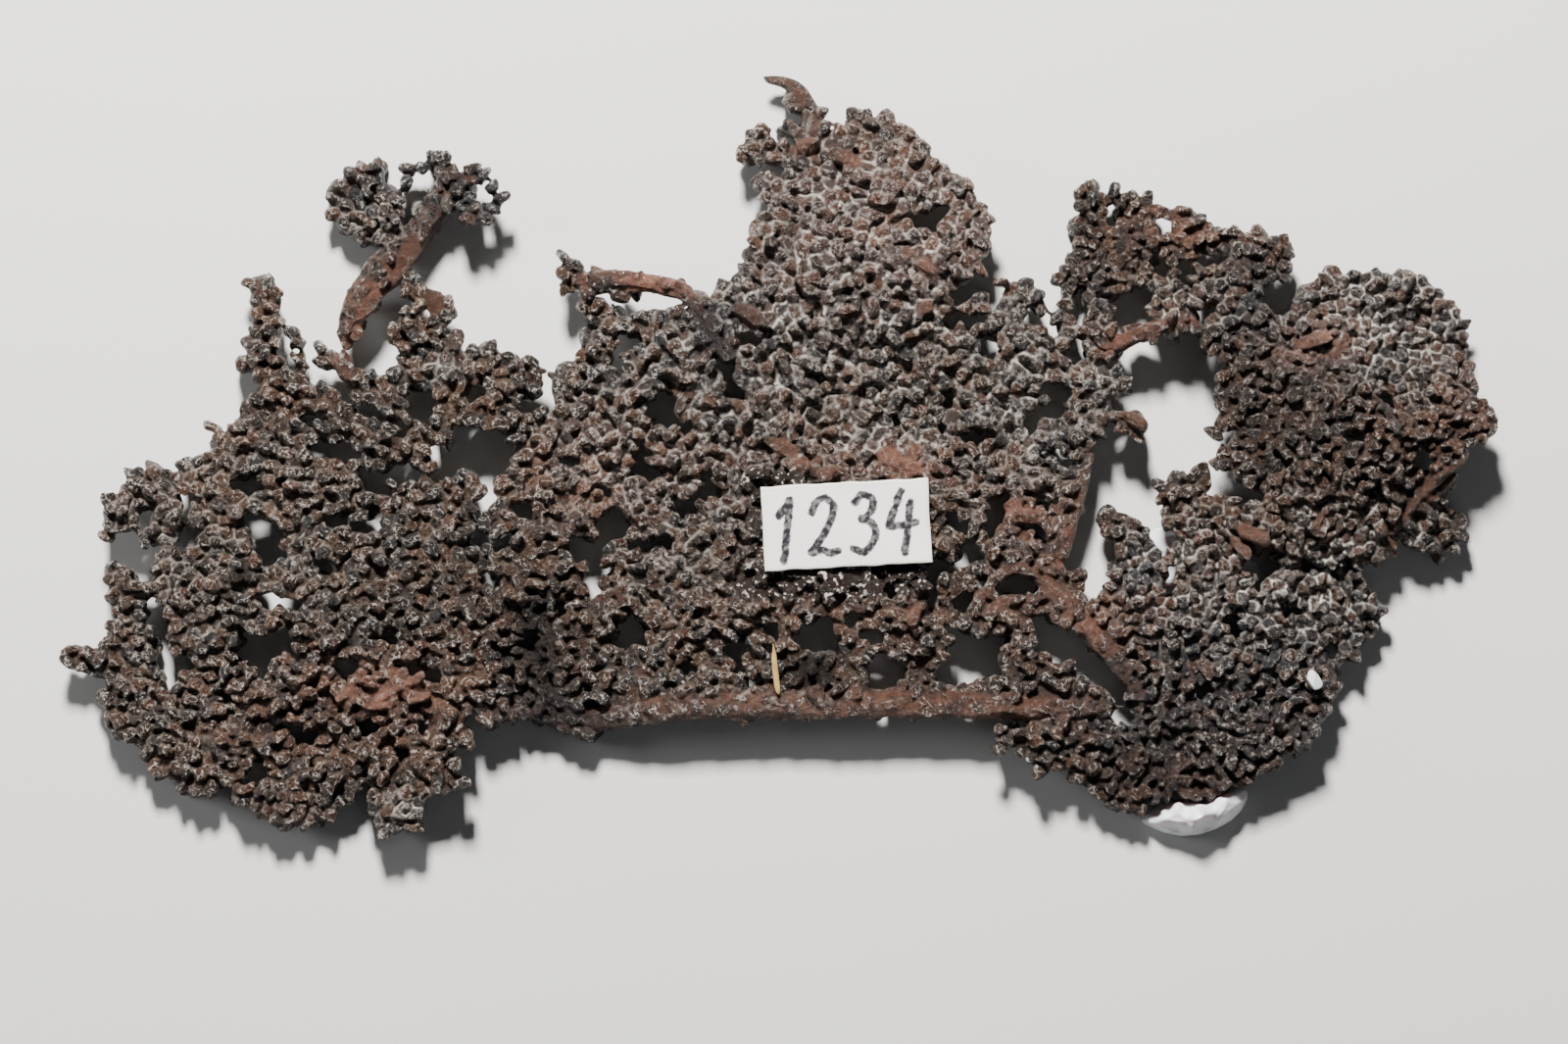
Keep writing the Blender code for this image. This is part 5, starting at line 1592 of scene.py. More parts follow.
def set_values(mesh: bpy.types.Mesh, values: dict[str, np.ndarray]) -> None:
    """Gives a mesh one value a vertex under each name.

    Args:
        mesh: The mesh.
        values: The values by name.
    """
    for name, column in values.items():
        layer = mesh.attributes.new(name, "FLOAT", "POINT")
        layer.data.foreach_set("value", np.asarray(column, np.float32))


def smooth_shaded(mesh: bpy.types.Mesh, faces: np.ndarray | None = None) -> None:
    """Shades a mesh smoothly.

    Args:
        mesh: The mesh.
        faces: Which faces, or all of them.
    """
    mesh.polygons.foreach_set(
        "use_smooth", np.ones(len(mesh.polygons), bool) if faces is None else faces
    )


@dataclass
class CopperBranch:
    """One branch of the leaf: its fused skin, with the values its material reads."""

    branch: Branch
    number: int
    grower: Grower
    nubs: Nubs
    voxel: float
    most: int
    tinting: float = 0.36

    def surface(self) -> Surface:
        """The branch's core, nubs and stems, as closed shapes that overlap.

        Returns:
            The shapes.
        """
        made = Surface()
        self.grower.add_core(made, self.number)
        self.nubs.add_to(made, SEED + self.number)
        for stem in STEMS:
            if stem.branch is self.branch:
                self.grower.add_stem(made, stem)
        return made

    def roughened(self, skin: Mesh) -> np.ndarray:
        """The skin with its voxel steps eased and a fine grain of lumps, facets and scratches put back.

        Args:
            skin: The fused skin.

        Returns:
            The places in millimetres.
        """
        verts = skin.smoothed(skin.verts, 1, 0.5)
        normal = skin.normals()
        smooth = smoothstep(0.25, -0.05, self.grower.stem_distance(verts))
        rough = 0.034 * waves(verts, 0.9, SEED + 21, 16) + 0.026 * waves(verts, 0.55, SEED + 22, 16)
        verts = verts + normal * (rough * (1.0 - 0.6 * smooth))[:, None]
        return clamped(verts)

    def values(self, skin: Mesh) -> dict[str, np.ndarray]:
        """The values that the copper's material reads at each vertex.

        A crease is where the skin lies under its own smoothed self, and a crest where it stands
        over it. The depth under the upper skin is what the material paints as shade.

        Args:
            skin: The skin.

        Returns:
            The values by attribute name.
        """
        verts, normal = skin.verts, skin.normals()
        big = self.nubs.chosen(self.nubs.radii.min(axis=1) > self.tinting)
        tint, clear = nearest_nub(verts, big.centres, big.tints)
        near = ((skin.smoothed(verts, 3) - verts) * normal).sum(axis=1)
        wide = ((skin.smoothed(verts, 14) - verts) * normal).sum(axis=1)
        crease = skin.smoothed(smoothstep(0.012, 0.1, near * 1.4 + wide * 0.5), 1)
        crest = skin.smoothed(smoothstep(0.004, 0.075, -near - 0.35 * wide), 1)
        bare = smoothstep(0.2, -0.15, self.grower.stem_distance(verts)) * (1.0 - crusted(verts))
        # How far under the upper skin: the material darkens it as painted shade.
        below = self.grower.top(verts) - verts[:, 2]
        found = {
            Attribute.TINT: tint * (1.0 - bare),
            Attribute.WEB: smoothstep(0.2, 0.05, clear) * (1.0 - bare),
            Attribute.DEEP: smoothstep(0.45, 1.25, below) * (1.0 - 0.7 * bare),
            Attribute.CREASE: crease,
            Attribute.CREST: crest,
        }
        for attribute, (patches, most) in PATCHED.items():
            found[attribute] = np.clip(patched(verts, patches), 0.0, most)
        found[Attribute.STEM] = bare
        return {attribute.value: column for attribute, column in found.items()}

    def build(self, material: bpy.types.Material) -> bpy.types.Object:
        """Builds the branch, attaches it to the root body and hides its imported solid.

        Args:
            material: The copper.

        Returns:
            The object.
        """
        name = self.branch.value
        fused = remeshed(
            name + "_skin", self.surface(), self.voxel, self.most, self.grower.plan.middle
        )
        skin = Mesh(self.roughened(fused), fused.faces)
        mesh = build_mesh(name + "_copper", skin.verts, np.empty((0, 4), int), skin.faces)
        set_values(mesh, self.values(skin))
        on_stem = (self.grower.stem_distance(skin.verts, ()) < 0.05) & (crusted(skin.verts) < 0.5)
        smooth_shaded(mesh, on_stem[skin.faces].all(axis=1))
        mesh.materials.append(material)
        made = add_object(name + "_copper", mesh)
        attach(made, "root")
        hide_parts(name)
        return made


# ---------------------------------------------------------------------------------------------
# Finishes


@dataclass
class Tree:
    """Adds nodes to a node tree in short calls."""

    tree: bpy.types.NodeTree

    def add(self, kind: str, inputs: dict | None = None, **settings: object) -> bpy.types.Node:
        """Adds a node.

        Args:
            kind: The node's type name, after "ShaderNode".
            inputs: Values or sockets by input name or number.
            settings: The node's own settings.

        Returns:
            The node.
        """
        node = self.tree.nodes.new(kind if kind.startswith("Node") else "ShaderNode" + kind)
        for name, value in settings.items():
            setattr(node, name, value)
        for name, value in (inputs or {}).items():
            if isinstance(value, bpy.types.NodeSocket):
                self.tree.links.new(value, node.inputs[name])
                continue
            colour = isinstance(value, tuple) and node.inputs[name].type == "RGBA"
            node.inputs[name].default_value = (*value, 1.0) if colour else value
        return node

    def mix(self, share: Socket | float, first: Socket | Colour, second: Socket | Colour) -> Socket:
        """Blends two colours.

        Args:
            share: How much of the second.
            first: The first colour.
            second: The second colour.

        Returns:
            The blended colour.
        """
        return self.add("Mix", {0: share, 6: first, 7: second}, data_type="RGBA").outputs[2]

    def between(self, share: Socket, first: Socket, second: float) -> Socket:
        """Blends two values.

        Args:
            share: How much of the second.
            first: The first value.
            second: The second value.

        Returns:
            The blended value.
        """
        return self.add("Mix", {0: share, 2: first, 3: second}, data_type="FLOAT").outputs[0]

    def math(self, operation: str, first: Socket | float, second: Socket | float = 0.0) -> Socket:
        """One operation on one or two values.

        Args:
            operation: Its name.
            first: The first value.
            second: The second value.

        Returns:
            The result.
        """
        return self.add("Math", {0: first, 1: second}, operation=operation).outputs[0]

    def times(self, first: Socket | float, second: Socket | float) -> Socket:
        """The product of two values.

        Args:
            first: The first value.
            second: The second value.

        Returns:
            The product.
        """
        return self.math("MULTIPLY", first, second)

    def plus(self, first: Socket | float, second: Socket | float) -> Socket:
        """The sum of two values.

        Args:
            first: The first value.
            second: The second value.

        Returns:
            The sum.
        """
        return self.math("ADD", first, second)

    def remap(
        self, value: Socket, low: float, high: float, first: float = 0.0, last: float = 1.0
    ) -> Socket:
        """Maps a value's range onto another, held at both ends.

        Args:
            value: The value.
            low: Where its range starts.
            high: Where it ends.
            first: What its start becomes.
            last: What its end becomes.

        Returns:
            The mapped value.
        """
        return self.add("MapRange", {0: value, 1: low, 2: high, 3: first, 4: last}).outputs[0]

    def attribute(self, attribute: Attribute) -> Socket:
        """One of the mesh's own values.

        Args:
            attribute: Which.

        Returns:
            The value.
        """
        return self.add("Attribute", attribute_name=attribute.value).outputs["Fac"]

    def noise(self, place: Socket, millimetres: float, detail: float = 3.0) -> Socket:
        """Noise with features of about one size.

        Args:
            place: Where it's read.
            millimetres: The features' size.
            detail: How many finer layers it has.

        Returns:
            The noise, about 0.5.
        """
        return self.add(
            "TexNoise", {"Vector": place, "Scale": 1000.0 / millimetres, "Detail": detail}
        ).outputs["Fac"]

    def place(self) -> Socket:
        """Object coordinates.

        Returns:
            The coordinates.
        """
        return self.add("TexCoord").outputs["Object"]


def feed(shader: bpy.types.Node, sockets: dict[str, Socket]) -> None:
    """Links sockets to a shader's inputs.

    Args:
        shader: The shader.
        sockets: The sockets by input name.
    """
    for name, socket in sockets.items():
        shader.id_data.links.new(socket, shader.inputs[name])


def new_material(name: str) -> tuple[bpy.types.Material, Tree, bpy.types.Node]:
    """A material with one Principled shader.

    Args:
        name: The material's name.

    Returns:
        The material, its tree and the shader.
    """
    material = bpy.data.materials.new(name)
    material.use_nodes = True
    tree = Tree(material.node_tree)
    return material, tree, material.node_tree.nodes["Principled BSDF"]


def mottle_group() -> bpy.types.NodeTree:
    """A node group: three sizes of noise summed to one mask, used by every finish.

    Returns:
        The group, with a place and a size in and a mask out.
    """
    group = bpy.data.node_groups.new("mottle", "ShaderNodeTree")
    group.interface.new_socket("Place", in_out="INPUT", socket_type="NodeSocketVector")
    group.interface.new_socket("Scale", in_out="INPUT", socket_type="NodeSocketFloat")
    group.interface.new_socket("Mask", in_out="OUTPUT", socket_type="NodeSocketFloat")
    tree = Tree(group)
    source = tree.add("NodeGroupInput")
    coarse = tree.add(
        "TexNoise", {"Vector": source.outputs[0], "Scale": source.outputs[1], "Detail": 2.0}
    )
    finer = tree.times(source.outputs[1], 3.7)
    fine = tree.add(
        "TexNoise", {"Vector": source.outputs[0], "Scale": finer, "Detail": 4.0, "Roughness": 0.65}
    )
    half = tree.times(fine.outputs["Fac"], 0.5)
    total = tree.plus(tree.times(coarse.outputs["Fac"], 0.5), half)
    sink = tree.add("NodeGroupOutput")
    group.links.new(tree.remap(total, 0.36, 0.64), sink.inputs[0])
    return group


@dataclass(frozen=True)
class CopperFinish:
    """Patinated native copper: brown, tan and grey nubs, pale dust between them and some bare metal,
    with painted shade in deep places and dark patches, and painted glints on the crests and varnish.
    """

    umber: Colour = (0.009, 0.005, 0.0032)
    brown: Colour = (0.03, 0.0155, 0.0095)
    tan: Colour = (0.088, 0.048, 0.029)
    drab: Colour = (0.055, 0.043, 0.035)
    slate: Colour = (0.026, 0.028, 0.034)
    rust: Colour = (0.086, 0.036, 0.021)
    bare: Colour = (0.235, 0.108, 0.075)
    dust: Colour = (0.72, 0.675, 0.62)
    clay: Colour = (0.3, 0.235, 0.175)
    # Pale colour of the painted glints and the painted sparkle.
    glint: Colour = (0.8, 0.735, 0.67)
    # Near-black of the painted shade in deep places and of the dark patches, which are partly dark patina.
    shade_and_patina_black: Colour = (0.012, 0.009, 0.008)
    glue: Colour = (0.012, 0.005, 0.003)

    def make(self, mottle: bpy.types.NodeTree) -> bpy.types.Material:
        """Builds the material.

        Args:
            mottle: The shared mask group.

        Returns:
            The material.
        """
        material, tree, shader = new_material("patinated copper")
        place = tree.place()

        def mask(millimetres: float) -> Socket:
            return tree.add(
                "Group", {"Place": place, "Scale": 1000.0 / millimetres}, node_tree=mottle
            ).outputs[0]

        tint, crease, crest = (
            tree.attribute(a) for a in (Attribute.TINT, Attribute.CREASE, Attribute.CREST)
        )
        warm, dark, pale = (
            tree.attribute(a) for a in (Attribute.WARM, Attribute.DARK, Attribute.PALE)
        )
        grey, varnish, stem = (
            tree.attribute(a) for a in (Attribute.GREY, Attribute.VARNISH, Attribute.STEM)
        )
        broad, middling, fine = mask(9.0), mask(1.6), mask(0.45)

        shade = tree.plus(tree.times(tint, 0.36), tree.times(middling, 0.55))
        body = tree.mix(tree.remap(shade, -0.05, 0.35), self.umber, self.brown)
        body = tree.mix(tree.remap(shade, 0.3, 0.8), body, self.tan)
        drab = tree.times(tree.remap(fine, 0.25, 0.9), tree.remap(broad, 0.1, 0.9, 0.15, 0.55))
        body = tree.mix(drab, body, self.drab)
        kind = tree.math("FRACT", tree.times(tint, 7.31))
        slate = tree.plus(tree.times(grey, 0.7), tree.remap(kind, 0.6, 0.75, 0.0, 0.4))
        body = tree.mix(tree.math("MINIMUM", slate, 0.88), body, self.slate)
        body = tree.mix(tree.remap(kind, 0.3, 0.1, 0.0, 0.5), body, self.rust)
        bared = tree.plus(
            tree.times(warm, tree.remap(stem, 0.3, 0.8, 0.6, 0.85)), tree.times(stem, 0.2)
        )
        bared = tree.times(
            bared, tree.remap(tree.plus(middling, tree.times(tint, 0.25)), 0.1, 0.75, 0.25, 1.0)
        )
        bared = tree.times(bared, tree.remap(grey, 0.2, 0.7, 1.0, 0.15))
        body = tree.mix(tree.math("MINIMUM", bared, 0.92), body, self.bare)

        dusty = tree.plus(0.24, tree.times(pale, 0.75))
        dusty = tree.times(dusty, tree.remap(mask(3.0), 0.15, 0.75, 0.2, 1.0))
        faint = tree.times(crease, 0.13)
        web = tree.times(tree.attribute(Attribute.WEB), tree.remap(crease, 0.0, 0.4, 0.45, 1.0))
        line = tree.math("MAXIMUM", faint, web)
        veins = tree.times(line, dusty)
        veins = tree.times(veins, tree.remap(dark, 0.1, 0.7, 1.0, 0.12))
        # Crests lightened towards the dust colour: partly dust, partly a painted highlight.
        crest_dust_and_highlight = tree.times(
            crest, tree.times(tree.remap(fine, 0.2, 0.8), tree.remap(pale, 0.8, 1.4, 0.03, 0.2))
        )
        powder = tree.mix(tree.remap(pale, 0.1, 0.6), self.clay, self.dust)
        # Painted shade: colour darkens to near-black with depth under the upper skin, and the pale web
        # fades there.
        deep = tree.attribute(Attribute.DEEP)
        sunk = tree.remap(deep, 0.0, 1.0, 1.0, 0.06)
        shown = tree.math(
            "MAXIMUM", tree.remap(deep, 0.1, 0.8, 1.0, 0.15), tree.remap(pale, 0.1, 0.5, 0.0, 0.9)
        )
        veins = tree.times(veins, shown)
        colour = tree.mix(crest_dust_and_highlight, body, self.dust)
        colour = tree.mix(tree.math("SUBTRACT", 1.0, sunk), colour, self.shade_and_patina_black)
        colour = tree.mix(veins, colour, powder)
        # Painted glints: thin pale streaks on the crests, colour standing in for highlights.
        ridge = tree.math("ABSOLUTE", tree.math("SUBTRACT", tree.noise(place, 0.75, 2.0), 0.5))
        chips = tree.times(tree.remap(ridge, 0.045, 0.012), tree.remap(crest, 0.1, 0.7))
        chips = tree.times(chips, tree.remap(pale, 0.2, 0.9, 1.0, 0.55))
        chips = tree.times(
            chips, tree.times(tree.remap(fine, 0.3, 0.7), tree.remap(stem, 0.3, 0.8, 0.7, 0.25))
        )
        colour = tree.mix(chips, colour, self.glint)
        # Dark patches: partly painted shade, partly dark patina.
        colour = tree.mix(tree.math("MINIMUM", tree.times(dark, 0.78), 0.95), colour, self.shade_and_patina_black)
        glued = tree.remap(varnish, 0.15, 0.7)
        colour = tree.mix(tree.times(glued, 0.92), colour, self.glue)
        # Painted sparkle: pale specks in the varnish, colour standing in for highlights.
        painted_sparkles = tree.times(glued, tree.remap(tree.noise(place, 0.42, 1.0), 0.6, 0.66))
        colour = tree.mix(
            tree.times(painted_sparkles, tree.remap(crease, 0.6, 0.1, 0.1, 0.85)), colour, self.glint
        )

        rough = tree.remap(fine, 0.0, 1.0, 0.2, 0.42)
        rough = tree.between(veins, rough, 0.85)
        rough = tree.between(stem, rough, 0.33)
        rough = tree.between(glued, rough, 0.27)
        metal = tree.remap(veins, 0.0, 0.5, 0.5, 0.0)
        metal = tree.between(glued, metal, 0.0)

        grain = tree.add("Bump", {"Strength": 1.0, "Distance": 0.00016, "Height": fine})
        pits = tree.add(
            "Bump",
            {
                "Strength": 0.6, "Distance": 0.00004, "Height": tree.noise(place, 0.14),
                "Normal": grain.outputs[0]
            }
        )
        normal = pits.outputs[0]
        feed(
            shader, {"Base Color": colour, "Roughness": rough, "Metallic": metal, "Normal": normal}
        )
        return material


@dataclass(frozen=True)
class CardFinish:
    """White card with felt-tip ink."""

    paper: Colour = (0.93, 0.925, 0.9)
    foxed: Colour = (0.8, 0.75, 0.6)
    ink: Colour = (0.018, 0.014, 0.02)
    ink_name: str = "ink"
    edge_name: str = "edge"

    def make(self, mottle: bpy.types.NodeTree) -> bpy.types.Material:
        """Builds the material.

        Args:
            mottle: The shared mask group.

        Returns:
            The material.
        """
        material, tree, shader = new_material("inked card")
        place = tree.place()
        mask = tree.add("Group", {"Place": place, "Scale": 900.0}, node_tree=mottle).outputs[0]
        fibres = tree.noise(place, 0.12, 5.0)
        edge = tree.add("Attribute", attribute_name=self.edge_name).outputs["Fac"]
        ink = tree.add("Attribute", attribute_name=self.ink_name).outputs["Fac"]
        paper = tree.mix(
            tree.times(edge, tree.remap(mask, 0.2, 0.9, 0.1, 0.8)), self.paper, self.foxed
        )
        paper = tree.mix(tree.remap(fibres, 0.3, 0.7, 0.0, 0.07), paper, self.foxed)
        strength = tree.times(ink, tree.remap(tree.noise(place, 0.5, 4.0), 0.32, 0.55, 0.78, 1.0))
        colour = tree.mix(strength, paper, self.ink)
        bump = tree.add("Bump", {"Strength": 0.25, "Distance": 0.00003, "Height": fibres})
        rough = tree.between(ink, tree.remap(mask, 0.0, 1.0, 0.5, 0.66), 0.42)
        feed(shader, {"Base Color": colour, "Roughness": rough, "Normal": bump.outputs[0]})
        return material


@dataclass(frozen=True)
class SoftFinish:
    """A soft or dry matt stuff: putty, a crumb of it, or straw."""

    name: str
    light: Colour
    shade: Colour
    roughness: tuple[float, float] = (0.3, 0.5)
    subsurface: float = 0.0
    grain: float = 0.8

    def make(self, mottle: bpy.types.NodeTree) -> bpy.types.Material:
        """Builds the material.

        Args:
            mottle: The shared mask group.

        Returns:
            The material.
        """
        material, tree, shader = new_material(self.name)
        place = tree.place()
        mask = tree.add(
            "Group", {"Place": place, "Scale": 1000.0 / self.grain}, node_tree=mottle
        ).outputs[0]
        fine = tree.noise(place, 0.15, 4.0)
        bump = tree.add("Bump", {"Strength": 0.3, "Distance": 0.00005, "Height": fine})
        shader.inputs["Subsurface Weight"].default_value = self.subsurface
        shader.inputs["Subsurface Scale"].default_value = 0.001
        feed(shader, {
            "Base Color": tree.mix(mask, self.light, self.shade),
            "Roughness": tree.remap(fine, 0.3, 0.7, *self.roughness),
            "Normal": bump.outputs[0],
        })
        return material


# ---------------------------------------------------------------------------------------------
# Label, putty and small pieces

STROKES = (
    ((-6.3, 1.0), (-5.5, 1.9), (-5.2, 2.3), (-5.4, 0.9), (-5.7, -0.9), (-6.0, -2.7)),
    (
        (-3.2, 1.2), (-2.7, 2.0), (-1.9, 2.3), (-1.2, 1.8), (-1.2, 1.0), (-1.9, -0.3), (-2.9, -1.6),
        (-3.4, -2.2)
    ),
    ((-3.4, -2.2), (-2.4, -2.0), (-1.6, -2.3), (-0.9, -2.1)),
    ((0.9, 1.8), (1.6, 2.4), (2.5, 2.1), (2.5, 1.2), (1.9, 0.6), (1.4, 0.4)),
    ((1.4, 0.4), (2.2, 0.2), (2.7, -0.6), (2.4, -1.6), (1.6, -2.3), (0.6, -2.1)),
    ((5.2, 2.5), (4.7, 1.3), (4.1, 0.1), (4.0, -0.3), (5.0, -0.3), (6.5, -0.1)),
    ((6.1, 1.6), (5.9, 0.3), (5.6, -1.2), (5.3, -2.6)),
)


@dataclass
class LabelCard:
    """A small glued card with four inked numerals."""

    place: CardPlace = CARD
    thickness: float = 0.34
    curl: float = 0.16
    pen: float = 0.37
    writing: float = 1.16
    steps: tuple[int, int] = (200, 102)

    def ink(self, points: np.ndarray) -> np.ndarray:
        """How inked each place is: 1 within the pen's reach of a stroke, with a soft uneven rim.

        Args:
            points: N x 2 places on the card.

        Returns:
            N values.
        """
        nearest = np.full(len(points), np.inf)
        for stroke in STROKES:
            drawn = tuple((x * 1.03, y * self.writing) for x, y in stroke)
            way, _ = Stem(Branch.CENTRE_FAN, drawn, (1.0, 1.0)).smooth_way(0.08)
            for some in np.array_split(way, max(1, len(way) // 20)):
                away = np.linalg.norm(points[:, None, :] - some[None], axis=2)
                nearest = np.minimum(nearest, away.min(axis=1))
        width = self.pen * (
            1.0 + 0.16 * waves(points, 1.6, SEED + 31) + 0.1 * waves(points, 0.4, SEED + 32)
        )
        return smoothstep(0.07, -0.05, nearest - width)

    def build(self, material: bpy.types.Material) -> bpy.types.Object:
        """Builds the card: a grid surface above and another below, curled up at its ends, with cut edges.

        The curl is a square of the place along the card plus a slow wave. Each side's edge wavers a little.

        Args:
            material: Its finish.

        Returns:
            The object.
        """
        columns, rows = self.steps
        length, width = self.place.size
        across = np.linspace(-0.5, 0.5, columns + 1) * length
        up = np.linspace(-0.5, 0.5, rows + 1) * width
        u, v = (a.ravel() for a in np.meshgrid(across, up, indexing="ij"))
        flat = np.column_stack([u, v])
        rim = np.minimum(length / 2 - np.abs(u), width / 2 - np.abs(v))
        waver = 0.05 * waves(flat, 3.1, SEED + 33) * smoothstep(1.2, 0.0, rim)
        u, v = u * (1 + waver / 8.0), v + waver * np.sign(v)
        height = self.place.underside + self.curl * (2 * u / length) ** 2 + 0.05 * waves(
            flat, 9.0, SEED + 34
        )
        rounding = 0.06 * (1 - smoothstep(0.0, 0.16, rim))
        cosine, sine = math.cos(self.place.turn), math.sin(self.place.turn)
        x = self.place.centre[0] + u * cosine - v * sine
        y = self.place.centre[1] + u * sine + v * cosine
        top = np.column_stack([x, y, height + self.thickness - rounding])
        under = np.column_stack([x, y, height + rounding])
        i, j = (a.ravel() for a in np.meshgrid(np.arange(columns), np.arange(rows), indexing="ij"))
        a = i * (rows + 1) + j
        b, c, d = a + rows + 1, a + rows + 2, a + 1
        count = len(u)
        grid = np.arange(count).reshape(columns + 1, rows + 1)
        loop = np.concatenate([grid[:-1, 0], grid[-1, :-1], grid[:0:-1, -1], grid[0, :0:-1]])
        after = np.roll(loop, -1)
        quads = np.vstack([
            np.stack([a, b, c, d], axis=1),
            np.stack([d, c, b, a], axis=1) + count,
            np.stack([loop, loop + count, after + count, after], axis=1),
        ])
        mesh = build_mesh(
            "label_card", clamped(np.vstack([top, under])), quads, np.empty((0, 3), int)
        )
        edge = np.tile(1 - smoothstep(0.0, 0.7, rim), 2)
        set_values(
            mesh,
            {
                CardFinish.ink_name: np.concatenate([self.ink(flat), np.zeros(count)]),
                CardFinish.edge_name: edge
            }
        )
        smooth_shaded(mesh)
        mesh.materials.append(material)
        made = add_object("label_card", mesh)
        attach(made, "root")
        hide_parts("paper_label")
        return made


@dataclass
class PuttyLump:
    """A pressed lump of putty that fills the outline of its solid."""

    node: str
    height: float
    crease: float
    seed: int
    around: int = 150
    levels: int = 60

    def build(self, material: bpy.types.Material) -> bpy.types.Object:
        """Builds the lump: a dome over the solid's outline, thumbed and creased, with a flat underside.

        With s from 0 at the middle to 1 at the outline, the height is a bulging curve of s, and
        the plan place is the middle plus s times the way to the outline. Slow waves thumb it.

        Args:
            material: Its finish.

        Returns:
            The object.
        """
        edges, _, _ = Plan.read_node(self.node)
        centre = edges.reshape(-1, 2).mean(axis=0)
        angle = np.linspace(-np.pi, np.pi, self.around, endpoint=False)
        way = np.stack([np.cos(angle), np.sin(angle)], axis=1)
        start, run = edges[:, 0] - centre, edges[:, 1] - edges[:, 0]
        cross = way[:, None, 0] * run[None, :, 1] - way[:, None, 1] * run[None, :, 0]
        cross = np.where(np.abs(cross) < 1e-9, 1e-9, cross)
        reach = (start[None, :, 0] * run[None, :, 1] - start[None, :, 1] * run[None, :, 0]) / cross
        share = (start[None, :, 0] * way[:, None, 1] - start[None, :, 1] * way[:, None, 0]) / cross
        reach = np.where((share >= -0.001) & (share <= 1.001) & (reach > 0), reach, 0.0).max(axis=1)
        reach = 0.5 * reach + 0.25 * (np.roll(reach, 1) + np.roll(reach, -1))
        s = np.sin(np.linspace(0.0, 0.5 * np.pi, self.levels + 1)[1:])
        s_grid, k = np.meshgrid(s, np.arange(self.around), indexing="ij")
        s_flat, k = s_grid.ravel(), k.ravel()
        plan = centre + way[k] * (s_flat * reach[k])[:, None]
        bulge = (1.0 - s_flat**2.6) ** 0.55
        thumbed = 1.0 + 0.1 * waves(plan, 5.0, self.seed) + 0.05 * waves(plan, 1.8, self.seed + 1)
        folds = self.crease * np.abs(
            waves(plan * np.array([0.45, 1.0]), 1.7, self.seed + 2)
        ) * smoothstep(1.0, 0.8, s_flat)
        height = np.clip(self.height * bulge * thumbed - folds, 0.02, None)
        top = np.column_stack([plan, height])
        crown = np.array([[centre[0], centre[1], self.height]])
        under = np.column_stack([plan[-self.around:], np.zeros(self.around)])
        foot = np.array([[centre[0], centre[1], 0.0]])
        ring = np.arange(self.around)
        after = (ring + 1) % self.around
        level = np.arange(self.levels - 1)[:, None] * self.around
        quads = np.stack(
            [level + ring, level + self.around + ring, level + self.around + after, level + after],
            axis=-1
        )
        last = (self.levels - 1) * self.around
        below = self.levels * self.around + 1
        walls = np.stack([last + ring, below + ring, below + after, last + after], axis=1)
        caps = np.vstack([
            cap(below - 1, ring, after),
            cap(below + self.around, below + after, below + ring),
        ])
        verts = clamped(np.vstack([top, crown, under, foot]))
        mesh = build_mesh(
            self.node + "_lump", verts, np.vstack([quads.reshape(-1, 4), walls]), caps
        )
        smooth_shaded(mesh)
        mesh.materials.append(material)
        made = add_object(self.node + "_lump", mesh)
        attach(made, "root")
        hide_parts(self.node)
        return made


@dataclass
class Scrap:
    """A small scrap caught on the leaf: a straw splinter or a crumb, made as one stretched lump."""

    name: str
    centre: tuple[float, float, float]
    radii: tuple[float, float, float]
    turn: float
    slot: str
    blockiness: float = 0.8

    def build(self, material: bpy.types.Material) -> bpy.types.Object:
        """Builds the scrap.

        Args:
            material: Its finish.

        Returns:
            The object.
        """
        nub = Nubs(
            np.array([self.centre]), np.array([self.radii]), np.radians([self.turn]),
            np.array([[0.05, 0.05]]), np.array([self.blockiness]), np.zeros(1)
        )
        shape = Surface()
        nub.add_to(shape, SEED + len(self.name), around=32, levels=25)
        mesh = shape.mesh(self.name)
        smooth_shaded(mesh)
        mesh.materials.append(material)
        made = add_object(self.name, mesh)
        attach(made, "root")
        return made


# ---------------------------------------------------------------------------------------------
# Stage


@dataclass(frozen=True)
class Lamp:
    """An area light: where it stands and its side in millimetres, its power in watts and its colour."""

    name: str
    place: tuple[float, float, float]
    size: float
    power: float
    tone: Colour


LAMPS = (
    Lamp("key", (-60.0, 400.0, 340.0), 85.0, 11.6, (1.0, 0.97, 0.93)),
    Lamp("fill", (300.0, -260.0, 380.0), 500.0, 0.14, (0.93, 0.96, 1.0)),
    Lamp("rim", (-420.0, 80.0, 160.0), 160.0, 0.6, (1.0, 1.0, 1.0)),
)


